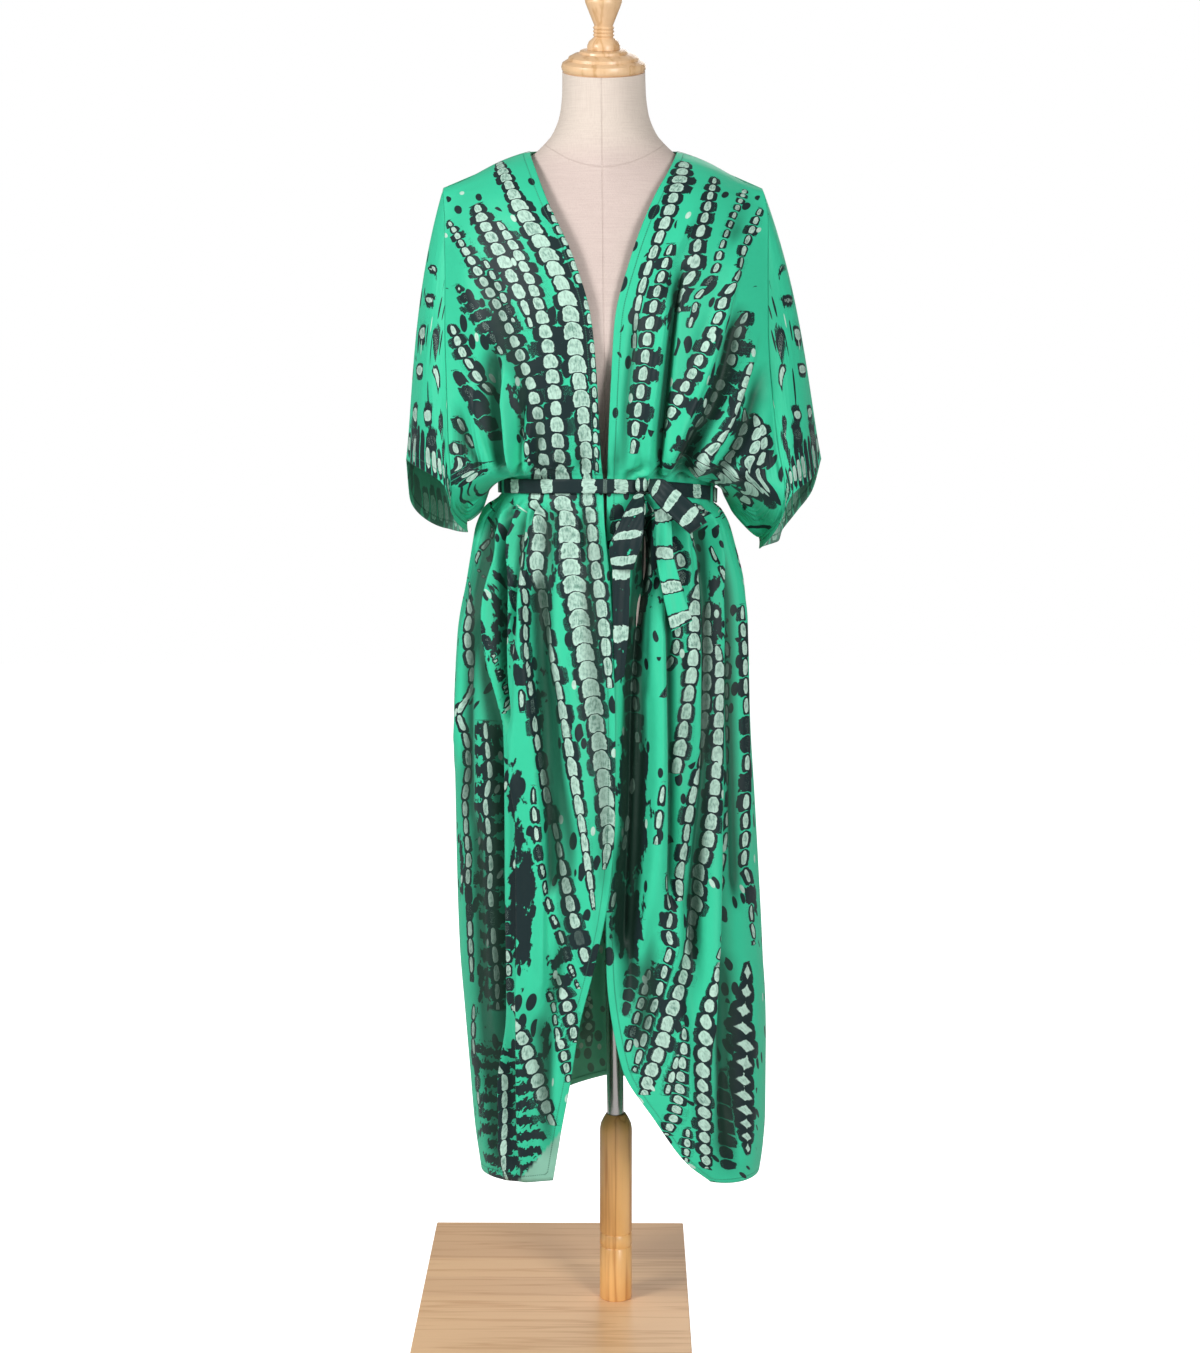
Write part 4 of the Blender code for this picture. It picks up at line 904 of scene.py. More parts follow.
def column_fields(column, layout, across, down):
    """Distance from the column in half widths, phase along it, and side, at each point."""
    line = column_line(column, layout, across, down)
    good = ~np.isnan(line[:, 0])
    distance = np.full(across.shape, FAR)
    phase, side = np.zeros(across.shape), np.zeros(across.shape)
    if good.sum() < 3:
        return distance, phase, side
    centre, run, half = line[good].T
    step = np.hypot(np.diff(centre), np.diff(run))
    pitch = np.linspace(column.pitch[0], column.pitch[1], len(centre)) * layout.unit
    cells = np.concatenate([[0.0], np.cumsum(step / pitch[1:])])
    slope = np.gradient(centre) / np.maximum(np.gradient(run), 1e-5)
    slope = np.clip(slope, -STEEPEST, STEEPEST)
    cosine = 1 / np.sqrt(1 + slope**2)
    offset = across[good] - centre[:, None]
    left = np.minimum(cells, cells[-1] - cells)
    half = half * np.clip(END_WIDTH + left / END_CELLS, 0, 1)
    signed = offset * cosine[:, None] / half[:, None]
    distance[good] = np.minimum(np.abs(signed), FAR)
    side[good] = np.clip(signed, -1.5, 1.5)
    lead = offset * (slope * cosine**2)[:, None] / pitch[:, None]
    reach = np.exp(-((signed / LEAD_REACH) ** 2))
    phase[good] = cells[:, None] + lead * reach
    return distance, phase, side


def print_fields(layout, across, down):
    """The named attributes that the print's material reads, as arrays of three numbers a point."""
    shape = across.shape
    fields = {"place": np.stack([across, down, np.zeros(shape)], axis=2)}
    for name in SETS:
        best = np.full(shape, FAR)
        cells, style, form = (np.zeros(shape + (3,)) for _ in range(3))
        cells[:, :, 0] = FAR
        for number, column in enumerate(layout.columns):
            if column.set != name:
                continue
            distance, phase, side = column_fields(column, layout, across, down)
            nearer = distance < best
            best[nearer] = distance[nearer]
            cells[nearer] = np.stack([distance, phase, side], axis=2)[nearer]
            style[nearer] = (column.halo, column.light, column.ribs)
            form[nearer] = (column.blocky, number, column.fill)
        fields["cells_" + name] = cells
        fields["style_" + name] = style
        fields["form_" + name] = form
    # the dark patches: the print's darks, and painted shade over the folds' valleys
    patch = np.zeros(shape)
    for blotch_and_shade in layout.blotches:
        away = ((layout.across - blotch_and_shade.across) / blotch_and_shade.reach_across) ** 2
        away += ((layout.down - blotch_and_shade.down) / blotch_and_shade.reach_down) ** 2
        patch = np.maximum(patch, blotch_and_shade.strength * np.exp(-away))
    fields["patch"] = np.stack([patch, np.ones(shape), np.zeros(shape)], axis=2)
    return fields


# The columns of the print, with the fields of Column. On the front panels a track's points are
# the places where a column shows from the front, in the photograph's pixels.
COLUMNS_UPPER_LEFT = (
    ("a", (14, 20), 0.35, 1.0, 0.97, 0.8, 0, (
        (158, 497, 4), (190, 511, 6), (237, 537, 8.5), (292, 566, 8.5), (375, 578, 8),
        (430, 585, 7), (492, 587, 6),
    )),
    ("b", (13, 17), 1.1, 0.8, 0.70, 0.3, 0, (
        (200, 546, 3.5), (281, 580, 3), (318, 590, 2.5), (475, 597, 2),
    )),
    ("a", (13, 19), 0.7, 0.9, 0.92, 0.3, 0, (
        (203, 476, 6), (238, 490, 7), (273, 511, 6.5), (329, 532, 3.5),
    )),
    ("b", (12, 21), 0.8, 1.0, 0.92, 0.4, 0, (
        (220, 497, 4), (265, 524, 5), (326, 544, 6.5), (405, 556, 6.5), (490, 561, 6),
    )),
    ("a", (12, 19), 0.9, 0.9, 0.85, 0.2, 0, (
        (220, 448, 3), (261, 471, 4.5), (311, 500, 5), (361, 523, 5.5), (418, 540, 5.5),
        (490, 545, 5),
    )),
    ("b", (13, 14), 0.9, 0.9, 0.80, 0.1, 0, ((255, 482, 3), (285, 497, 3.5), (325, 515, 3))),
    ("b", (12, 14), 1.6, 0.6, 0.75, 0.0, 0, ((283, 455, 2.5), (331, 489, 3), (356, 503, 3))),
    ("a", (13, 13), 0.9, 0.9, 0.85, 0.1, 0, ((324, 451, 4), (360, 468, 4.5), (398, 495, 4.5))),
    ("b", (15, 15), 1.0, 0.5, 0.80, 0.0, 0, ((366, 453, 3), (400, 474, 3.5), (440, 499, 3.5))),
    ("a", (15, 15), 0.9, 0.9, 0.80, 0.1, 0, ((413, 455, 4), (450, 475, 4))),
    ("b", (12, 12), 1.3, 0.8, 0.80, 0.1, 0, (
        (438, 453, 3.5), (456, 458, 3.5), (469, 463, 4), (480, 475, 4),
    )),
    ("b", (16, 16), 0.9, 1.0, 0.80, 0.2, 0, ((425, 522, 3), (462, 529, 3))),
)
COLUMNS_UPPER_RIGHT = (
    ("a", (13, 20), 0.5, 0.85, 0.90, 0.4, 0, (
        (161, 685, 7), (194, 675, 6), (231, 663, 4), (290, 640, 3), (351, 634, 2.5),
    )),
    ("b", (14, 20), 1.2, 0.95, 0.80, 0.2, 0, (
        (243, 672, 3), (285, 658, 4), (347, 647, 4), (454, 632, 4),
    )),
    ("a", (14, 20), 1.1, 0.85, 0.85, 0.2, 0, ((177, 715, 3), (240, 699, 4), (315, 677, 6))),
    ("b", (13, 15), 0.8, 0.8, 0.70, 0.1, 0, ((188, 746, 2.5), (236, 726, 2.5), (331, 688, 2.5))),
    ("a", (17, 14), 0.8, 0.9, 0.80, 0.2, 0, (
        (208, 761, 3), (263, 740, 3.5), (333, 715, 4), (395, 679, 4.5), (434, 663, 4.5),
    )),
    ("b", (15, 14), 1.6, 0.9, 0.85, 0.1, 0, (
        (308, 748, 3.5), (370, 731, 4), (416, 700, 4.5), (459, 679, 4.5),
    )),
    ("a", (14, 12), 0.5, 1.0, 0.92, 0.5, 0, (
        (361, 752, 4), (400, 741, 4.5), (448, 718, 5), (476, 694, 4),
    )),
    ("b", (13, 12), 0.5, 1.0, 0.92, 0.4, 0, (
        (405, 745, 3.5), (438, 741, 4), (466, 732, 4.5), (490, 716, 4),
    )),
    ("a", (13, 12), 0.6, 1.0, 0.90, 0.3, 0, (
        (412, 754, 3.5), (450, 756, 4.5), (478, 752, 4.5), (505, 740, 4),
    )),
    ("b", (14, 13), 0.9, 0.9, 0.85, 0.1, 0, ((422, 761, 4), (457, 765, 4.5), (495, 766, 4.5))),
)
COLUMNS_LOWER_LEFT = (
    ("a", (15, 20), 0.30, 1.0, 0.97, 1.0, 0, (
        (466, 561, 8), (523, 566, 11), (560, 571, 11.5), (617, 579, 9.5), (703, 593, 9),
        (780, 604, 8), (843, 610, 6), (870, 604, 3),
    )),
    ("b", (18, 20), 0.25, 1.0, 0.95, 0.4, 0, (
        (470, 586, 6), (556, 594, 6), (619, 603, 5.5), (690, 610, 4),
    )),
    ("b", (18, 20), 0.4, 1.0, 0.97, 0.7, 0, (
        (468, 538, 6), (541, 537, 8), (598, 543, 7), (660, 553, 6.5), (721, 564, 6),
        (803, 578, 4.5), (863, 587, 3), (911, 594, 2),
    )),
    ("a", (18, 20), 0.6, 0.9, 0.90, 0.3, 0, (
        (534, 523, 5), (594, 524, 4), (650, 526, 3), (691, 530, 3.5), (766, 541, 4),
        (844, 558, 4), (922, 574, 5), (987, 596, 5),
    )),
    ("b", (24, 26), 1.0, 0.15, 0.72, 0.0, 0, (
        (500, 512, 2.5), (542, 507, 3), (594, 510, 3), (668, 518, 3), (715, 522, 3),
    )),
    ("a", (18, 18), 0.5, 0.8, 0.80, 0.1, 0, (
        (520, 492, 2), (551, 483, 2), (587, 479, 2), (635, 489, 2), (714, 504, 2),
    )),
    ("b", (18, 19), 0.4, 0.9, 0.90, 0.2, 0, (
        (560, 468, 3), (651, 469, 4.5), (714, 468, 3), (801, 465, 4.5), (863, 468, 4),
        (985, 472, 3),
    )),
    ("a", (20, 20), 0.3, 0.9, 0.90, 0.2, 11, (
        (720, 486, 2.6), (838, 488, 2.6), (934, 494, 3), (1010, 498, 3),
    )),
    ("b", (20, 20), 0.9, 0.9, 0.75, 0.1, 0, (
        (781, 533, 2), (859, 537, 2), (914, 553, 2), (989, 579, 2),
    )),
    ("b", (15, 15), 0.7, 0.3, 0.80, 0.0, 0, ((905, 507, 3), (969, 507, 3), (1013, 514, 3))),
    ("a", (17, 18), 0.3, 1.0, 0.92, 0.2, 0, (
        (1001, 513, 3), (1026, 519, 5), (1079, 535, 6.5), (1126, 553, 6.5),
    )),
    ("b", (19, 19), 0.2, 1.0, 1.00, 0.3, 22, ((1040, 502, 3), (1121, 503, 3), (1196, 509, 3))),
    ("a", (14, 14), 0.7, 1.0, 0.80, 0.1, 0, ((988, 547, 2.5), (1030, 559, 3), (1084, 569, 3))),
    ("a", (16, 16), 0.6, 1.0, 0.85, 0.2, 0, ((972, 556, 4.5), (1003, 569, 4.5), (1042, 575, 4.5))),
    ("a", (16, 19), 0.6, 0.7, 0.85, 0.0, 0, ((1000, 474, 3), (1060, 474, 3), (1110, 480, 3))),
)
COLUMNS_LOWER_RIGHT = (
    ("b", (16, 17), 0.8, 0.4, 0.80, 0.0, 0, (
        (500, 618, 3), (580, 622, 4), (680, 628, 4), (745, 630, 4),
    )),
    ("a", (17, 18), 0.7, 0.8, 0.80, 0.1, 0, (
        (500, 648, 3), (570, 650, 3.5), (640, 636, 4), (700, 634, 3.5), (745, 638, 4),
    )),
    ("b", (18, 18), 0.6, 0.7, 0.80, 0.1, 0, (
        (500, 672, 3), (560, 680, 4), (640, 678, 3), (700, 664, 3),
    )),
    ("a", (16, 19), 0.35, 1.0, 0.92, 0.5, 0, (
        (500, 694, 3), (541, 697, 4), (605, 696, 6), (662, 692, 6), (721, 686, 5.5),
        (775, 675, 8),
    )),
    ("b", (19, 20), 0.4, 1.0, 0.92, 0.4, 0, (
        (600, 709, 4), (641, 707, 5), (730, 705, 5.5), (785, 694, 5.5), (838, 686, 5.5),
        (906, 680, 5),
    )),
    ("a", (17, 19), 0.4, 1.0, 0.94, 0.4, 0, (
        (640, 716, 5), (684, 721, 5), (757, 718, 5.5), (821, 711, 6), (878, 701, 6),
        (964, 684, 6.5), (1029, 667, 6.5), (1096, 644, 6),
    )),
    ("b", (22, 22), 0.5, 0.9, 0.70, 0.1, 0, (
        (540, 709, 2.2), (616, 725, 2.2), (790, 727, 2.2), (906, 722, 2.2), (962, 719, 2.2),
    )),
    ("a", (20, 20), 1.0, 0.7, 0.80, 0.1, 0, (
        (600, 742, 3.5), (675, 745, 3.5), (740, 748, 3), (843, 744, 3.5), (909, 753, 3.5),
        (949, 754, 3.5),
    )),
    ("a", (20.5, 20.5), 0.35, 1.0, 0.96, -0.75, 0, (
        (959, 747, 6), (1029, 745.5, 10), (1110, 745.5, 8), (1156, 748, 4),
    )),
    ("b", (18, 19), 0.3, 1.0, 0.95, -0.3, 0, (
        (965, 718, 4), (997, 710, 5), (1035, 705, 6.5), (1115, 704, 6.5), (1170, 707, 5),
    )),
    ("a", (22, 22), 0.5, 0.0, 0.78, 0.0, 0, ((1070, 722, 5), (1110, 722, 6), (1170, 729, 6))),
    ("a", (20, 20), 0.6, 0.5, 0.85, 0.1, 0, ((757, 636, 4), (834, 626, 4), (916, 610, 4))),
    ("b", (26, 26), 0.5, 1.0, 0.70, 0.1, 0, ((780, 664, 3), (845, 656, 3))),
    ("a", (20, 20), 1.1, 1.0, 0.80, 0.1, 0, (
        (870, 666, 3), (931, 671, 3), (1010, 653, 3), (1072, 634, 3),
    )),
    ("b", (16, 16), 0.6, 0.9, 0.80, 0.1, 0, ((965, 651, 3), (1018, 637, 3), (1056, 626, 3))),
    ("b", (14, 14), 0.8, 0.0, 0.80, 0.0, 0, ((960, 636, 3), (1017, 624, 3))),
    ("b", (16, 16), 0.7, 0.9, 0.80, 0.1, 0, ((1026, 684, 3), (1086, 683, 4), (1140, 665, 4.5))),
    ("a", (18, 18), 0.9, 1.0, 0.80, 0.1, 0, ((1052, 679, 3), (1097, 666, 3))),
    ("a", (16, 16), 0.7, 1.0, 0.80, 0.1, 0, ((1125, 688, 3), (1165, 686, 3))),
)
COLUMNS_LEFT = COLUMNS_UPPER_LEFT + COLUMNS_LOWER_LEFT
COLUMNS_RIGHT = COLUMNS_UPPER_RIGHT + COLUMNS_LOWER_RIGHT


# Dark patches on the fronts, most of them over the folds' valleys: painted shade as well as the
# print's darks.
BLOTCHES_AND_SHADE_LEFT = (
    Blotch(330, 500, 55, 22, 0.56),
    Blotch(400, 520, 60, 22, 0.58),
    Blotch(560, 550, 60, 26, 0.50),
    Blotch(620, 500, 90, 26, 0.56),
    Blotch(700, 540, 80, 16, 0.52),
    Blotch(440, 480, 26, 16, 0.42),
    Blotch(470, 470, 12, 18, 0.50),
    Blotch(900, 521, 110, 20, 0.70),
    Blotch(795, 515, 50, 18, 0.66),
    Blotch(860, 462, 90, 8, 0.52),
    Blotch(1120, 480, 50, 12, 0.50),
    Blotch(1010, 480, 60, 16, 0.52),
    Blotch(970, 560, 50, 24, 0.52),
    Blotch(1040, 545, 50, 18, 0.54),
)
BLOTCHES_AND_SHADE_RIGHT = (
    Blotch(800, 634, 110, 22, 0.80),
    Blotch(920, 628, 60, 24, 0.76),
    Blotch(560, 650, 70, 30, 0.60),
    Blotch(620, 715, 90, 24, 0.56),
    Blotch(300, 668, 80, 16, 0.52),
    Blotch(1080, 735, 60, 26, 0.50),
    Blotch(660, 622, 40, 12, 0.55),
    Blotch(400, 690, 50, 24, 0.54),
    Blotch(440, 745, 50, 24, 0.58),
    Blotch(768, 749, 40, 5, 0.60),
    Blotch(1000, 660, 70, 24, 0.54),
)
BLOTCHES_BACK = (
    Blotch(300, -120, 70, 22, 0.52),
    Blotch(400, 100, 80, 20, 0.52),
    Blotch(760, -60, 120, 22, 0.60),
    Blotch(880, 150, 120, 20, 0.60),
    Blotch(1020, 20, 80, 26, 0.50),
)
PIXEL = 1 / 900  # a pixel's length in metres, where the front stands


def columns(rows):
    """A table's rows as columns of the print."""
    return tuple(Column(*row) for row in rows)


def scattered(seed, count, down, across, width):
    """Columns for a side that the photograph doesn't show: in lanes, each broken by plain gaps."""
    draw = random.Random(seed)
    made = []
    for k in range(count):
        middle = across[0] + (across[1] - across[0]) * (k + draw.uniform(0.3, 0.7)) / count
        start = down[0] + draw.uniform(0, 90)
        while start < down[1] - 60:
            length = draw.uniform(180, 620)
            low = min(start + length, down[1])
            half = draw.uniform(*width)
            sway = draw.uniform(-16, 16)
            track = tuple(
                (start + (low - start) * share, middle + shift, half * draw.uniform(0.6, 1.3))
                for share, shift in ((0.0, 0.0), (0.3, sway), (0.6, -sway / 2), (1.0, sway / 3))
            )
            made.append(Column(
                set=SETS[k % 2],
                pitch=(draw.uniform(16, 20), draw.uniform(19, 24)),
                halo=draw.choice((0.2, 0.3, 0.5, 0.8)),
                light=draw.choice((1.0, 1.0, 0.9, 0.5)),
                fill=draw.uniform(0.8, 0.98),
                blocky=draw.choice((0.1, 0.3, 0.8, -0.6)),
                ribs=draw.choice((0, 0, 0, 0, 5)),
                track=track,
            ))
            start = low + draw.uniform(20, 110)
    return tuple(made)


# ---------------------------------------------------------------- materials


class Graph:
    """Shorthand for building a material's nodes."""

    def __init__(self, name):
        self.material = bpy.data.materials.new(name)
        self.material.use_nodes = True
        self.tree = self.material.node_tree
        self.shader = self.tree.nodes["Principled BSDF"]

    def feed(self, socket, value):
        if isinstance(value, bpy.types.NodeSocket):
            self.tree.links.new(value, socket)
        else:
            socket.default_value = value

    def node(self, kind, inputs=None, **settings):
        made = self.tree.nodes.new("ShaderNode" + kind)
        for key, value in settings.items():
            setattr(made, key, value)
        for key, value in (inputs or {}).items():
            self.feed(made.inputs[key], value)
        return made

    def math(self, operation, *values):
        made = self.node("Math", operation=operation)
        for socket, value in zip(made.inputs, values):
            self.feed(socket, value)
        return made.outputs[0]

    def add(self, *values):
        return self.math("ADD", *values)

    def times(self, *values):
        return self.math("MULTIPLY", *values)

    def rise(self, value, low, high):
        """0 below low, 1 above high, smooth between; low may be above high."""
        made = self.node("MapRange", {0: value, 1: low, 2: high}, interpolation_type="SMOOTHSTEP")
        return made.outputs[0]

    def blend(self, share, a, b):
        made = self.node("Mix", {0: share, 6: a, 7: b}, data_type="RGBA")
        return made.outputs[2]

    def vector(self, operation, a, b):
        return self.node("VectorMath", {0: a, 1: b}, operation=operation).outputs[0]

    def noise(self, place, scale, detail=2.0, rough=0.5):
        settings = {"Vector": place, "Scale": scale, "Detail": detail, "Roughness": rough}
        return self.node("TexNoise", settings).outputs["Fac"]

    def attribute(self, name):
        return self.node("Attribute", attribute_name=name).outputs["Vector"]

    def split(self, vector):
        return self.node("SeparateXYZ", {0: vector}).outputs[:3]

    def bump(self, height, distance, strength=1.0, normal=None):
        inputs = {"Height": height, "Distance": distance, "Strength": strength}
        if normal is not None:
            inputs["Normal"] = normal
        return self.node("Bump", inputs).outputs["Normal"]

    def finish(self, inputs):
        for key, value in inputs.items():
            self.feed(self.shader.inputs[key], value)
        return self.material


GREEN = (0.036, 0.575, 0.325, 1.0)
DARK = (0.007, 0.021, 0.023, 1.0)
PALE = (0.52, 0.75, 0.63, 1.0)
PALE_SHADE = (0.13, 0.27, 0.21, 1.0)
FADED = (0.24, 0.50, 0.37, 1.0)  # what the print fades to on the wrong side

GROUND_DEEP = (0.030, 0.46, 0.255, 1.0)  # what the ground's green varies to
# painted shade: the colour of the cloth deep in a fold's valley
PAINTED_VALLEY_SHADE = (0.004, 0.030, 0.016, 1.0)
THREAD = (0.03, 0.16, 0.10, 1.0)
EDGE_SHADE = (0.012, 0.16, 0.09, 1.0)
STITCH = 0.0026  # length of a stitch and its gap
CELL_SEED = 17.31  # sets the cells of two columns apart
DOTS, DASHES = 58.0, 44.0  # places a metre for small spots of each kind; only some hold one
VALLEY_SHADE = 0.84  # how far painted shade darkens the cloth where it lies deep in a fold
RAGGED = 0.42  # how far noise moves a cell's edge, in half widths
SMILE = 0.26  # how far a separator curves, in cells, on a blocky column
CELL_GROW = 1.10  # leaves the dark separators between cells
HALO_CELL = 1.20  # how much longer than its cell the dark halo is


def cell_masks(g, name, ragged, wander):
    """(pale, dark, grey) masks of one set of columns; grey is the shade inside the pale cells."""
    distance, phase, side = g.split(g.attribute("cells_" + name))
    halo, light, ribs = g.split(g.attribute("style_" + name))
    blocky, number, fill = g.split(g.attribute("form_" + name))
    # distance from the column's middle, with a ragged edge
    reach = g.add(distance, g.times(g.math("SUBTRACT", ragged, 0.5), RAGGED))
    reach = g.math("MAXIMUM", reach, 0.0)
    # phase along the column: its separators curve, and wander far from the column
    near = g.math("MINIMUM", reach, 1.2)
    smile = g.times(g.times(g.math("POWER", near, 2.0), -SMILE), g.math("MAXIMUM", blocky, 0.15))
    smile = g.times(smile, g.math("GREATER_THAN", ribs, -0.5))
    loose = g.add(0.16, g.times(g.rise(reach, 1.2, 3.0), 0.9))
    bent = g.add(g.add(phase, smile), g.times(g.math("SUBTRACT", wander, 0.5), loose))
    cell = g.math("FLOOR", bent)
    ends = g.math("ABSOLUTE", g.math("SUBTRACT", g.times(g.math("FRACT", bent), 2.0), 1.0))
    # each cell's own width, odds of being pale, and lopsidedness
    seed = g.add(cell, g.times(number, CELL_SEED))
    chance = g.node("TexWhiteNoise", {"W": seed}, noise_dimensions="1D").outputs["Color"]
    wide, odds, lop = g.split(chance)
    width = g.add(0.80, g.times(wide, 0.34))
    power = g.add(1.7, g.times(blocky, 1.7))
    # the pale cell, and the grey shade inside it
    inner = g.math("DIVIDE", reach, width)
    along = g.math("DIVIDE", g.times(ends, CELL_GROW * 0.93), fill)
    cell_far = g.add(g.math("POWER", inner, power), g.math("POWER", along, g.add(power, 1.0)))
    shown = g.math("LESS_THAN", odds, light)
    pale = g.times(g.rise(cell_far, 1.04, 0.90), shown)
    grey = g.times(g.rise(cell_far, 0.95, 0.10), g.add(0.25, g.times(lop, 0.75)))
    # the dark halo, wider and longer than its cell
    tilt = g.times(g.times(side, g.math("SUBTRACT", lop, 0.5)), 0.9)
    stretch = g.add(1.16, g.times(halo, g.add(g.add(0.7, g.times(odds, 1.9)), tilt)))
    outer = g.math("DIVIDE", inner, stretch)
    dark_along = g.math("DIVIDE", ends, g.times(fill, HALO_CELL))
    dark_far = g.add(g.math("POWER", outer, 2.6), g.math("POWER", dark_along, 4.0))
    dark = g.times(g.rise(dark_far, 1.08, 0.92), g.rise(halo, 0.02, 0.05))
    # ribs: dark lines that reach out from between two cells
    leaf = g.times(g.rise(reach, 1.5, 4.0), 0.40)
    gap = g.math("SUBTRACT", 1.0, ends)
    rib = g.rise(g.math("SUBTRACT", gap, leaf), -0.03, 0.03)
    rib_end = g.math("SUBTRACT", g.times(ribs, g.add(0.75, g.times(lop, 0.25))), reach)
    rib = g.times(rib, g.rise(rib_end, -0.1, 0.3))
    return pale, g.math("MAXIMUM", dark, rib), g.times(grey, pale)


def print_colour(g, fade):
    """The printed colour from the attributes on the mesh; fade is how far the wrong side pales."""
    place = g.attribute("place")
    fine = g.node("TexNoise", {"Vector": place, "Scale": 190.0, "Detail": 2.0}).outputs["Color"]
    ragged, wander, mottle = g.split(fine)
    pale_a, dark_a, grey_a = cell_masks(g, "a", ragged, wander)
    pale_b, dark_b, grey_b = cell_masks(g, "b", wander, ragged)
    patch, spots, turned_up = g.split(g.attribute("patch"))
    # dark patches with ragged outlines: the print's darks, and painted shade over the folds'
    # valleys
    stretched = g.vector("MULTIPLY", place, (1.0, 0.55, 1.0))
    cloud = g.noise(stretched, 62.0, 4.0, 0.6)
    blotch_and_shade = g.rise(g.math("SUBTRACT", patch, cloud), -0.02, 0.02)
    # small dark dots, thicker in some places
    thick = g.rise(g.noise(place, 11.0, 1.0), 0.42, 0.58)
    dots = g.node("TexVoronoi", {"Vector": stretched, "Scale": DOTS}, voronoi_dimensions="2D")
    pick = g.split(dots.outputs["Color"])
    size = g.add(0.14, g.times(pick[1], 0.22))
    dot = g.times(
        g.rise(g.math("SUBTRACT", size, dots.outputs["Distance"]), -0.01, 0.02),
        g.math("LESS_THAN", pick[0], g.times(g.times(spots, thick), 0.62)),
    )
    # small pale dashes
    shifted = g.vector("ADD", stretched, (3.0, 7.0, 0.0))
    dashes = g.node("TexVoronoi", {"Vector": shifted, "Scale": DASHES}, voronoi_dimensions="2D")
    chosen = g.split(dashes.outputs["Color"])
    dash = g.times(
        g.rise(g.math("SUBTRACT", 0.13, dashes.outputs["Distance"]), -0.01, 0.02),
        g.math("LESS_THAN", chosen[0], g.times(spots, 0.16)),
    )
    dark = g.math("MAXIMUM", g.math("MAXIMUM", dark_a, dark_b), g.math("MAXIMUM", blotch_and_shade, dot))
    pale = g.math("MAXIMUM", g.math("MAXIMUM", pale_a, pale_b), dash)
    # streaks and the grey inside the pale cells
    streak = g.noise(g.vector("MULTIPLY", place, (1.0, 0.30, 1.0)), 520.0, 3.0, 0.6)
    streak = g.rise(g.add(g.times(streak, 0.6), g.times(mottle, 0.4)), 0.40, 0.64)
    grey = g.math("MAXIMUM", grey_a, grey_b)
    shade = g.add(g.times(streak, 0.30), g.times(g.times(grey, g.add(0.35, streak)), 0.62))
    light = g.blend(shade, PALE, PALE_SHADE)
    ground = g.blend(g.times(g.noise(place, 24.0, 2.0), 0.16), GREEN, GROUND_DEEP)
    printed = g.blend(pale, g.blend(dark, ground, DARK), light)
    paled = g.blend(fade, printed, FADED) if fade else printed
    return g.blend(turned_up, paled, FADED), place


def cloth_material(name, fade=0.0):
    """Smooth printed satin; with fade, its wrong side."""
    g = Graph(name)
    colour, place = print_colour(g, fade)
    edge, run, painted_shade = g.split(g.attribute("hem"))
    # painted shade: the colour darkens deep in the folds' valleys
    colour = g.blend(g.times(painted_shade, VALLEY_SHADE), colour, PAINTED_VALLEY_SHADE)
    stitch = g.rise(g.math("ABSOLUTE", g.math("SUBTRACT", edge, 1.0)), 0.09, 0.05)
    dashes = g.rise(g.math("PINGPONG", g.math("DIVIDE", run, STITCH), 0.5), 0.12, 0.20)
    thread = g.times(stitch, dashes)
    colour = g.blend(g.times(thread, 0.55), colour, THREAD)
    colour = g.blend(g.times(g.rise(edge, 0.10, 0.0), 0.35), colour, EDGE_SHADE)
    turned_edge = g.rise(edge, 1.15, 0.95)
    sag = g.noise(place, 26.0, 3.0)
    weave = g.noise(place, 1500.0, 1.0)
    normal = g.bump(sag, 0.0030, 0.55)
    normal = g.bump(g.math("SUBTRACT", turned_edge, g.times(thread, 0.8)), 0.0006, 0.9, normal)
    normal = g.bump(weave, 0.00018, 0.5, normal)
    return g.finish({
        "Base Color": colour,
        "Roughness": 0.50,
        "Normal": normal,
        "Sheen Weight": 0.05,
        "Specular IOR Level": 0.22,
    })


# ---------------------------------------------------------------- meshes


def add_mesh(name, points, faces, materials):
    """A smooth mesh with its materials, as an object in the scene."""
    mesh = bpy.data.meshes.new(name)
    mesh.from_pydata([tuple(p) for p in points], [], [tuple(f) for f in faces])
    mesh.validate()
    for material in materials:
        mesh.materials.append(material)
    mesh.polygons.foreach_set("use_smooth", [True] * len(mesh.polygons))
    obj = bpy.data.objects.new(name, mesh)
    bpy.context.scene.collection.objects.link(obj)
    return obj


def grid_faces(rows, columns, closed):
    """Quads of a grid of points; closed joins each row's end to its start."""
    width = columns if closed else columns - 1
    r, c = np.meshgrid(np.arange(rows - 1), np.arange(width), indexing="ij")
    a, b = r * columns + c, r * columns + (c + 1) % columns
    return np.stack([a, b, b + columns, a + columns], axis=-1).reshape(-1, 4)


def capped_faces(rows, columns):
    """A closed grid's faces, with two points after the grid's own that close its foot and top."""
    foot, top = rows * columns, rows * columns + 1
    last = foot - columns
    faces = [tuple(face) for face in grid_faces(rows, columns, True)]
    faces += [((k + 1) % columns, k, foot) for k in range(columns)]
    faces += [(last + k, last + (k + 1) % columns, top) for k in range(columns)]
    return faces


def lay_fields(obj, fields):
    """Puts each field on the mesh as a named attribute of its points."""
    for name, values in fields.items():
        layer = obj.data.attributes.new(name, "FLOAT_VECTOR", "POINT")
        layer.data.foreach_set("vector", np.ascontiguousarray(values, np.float32).ravel())


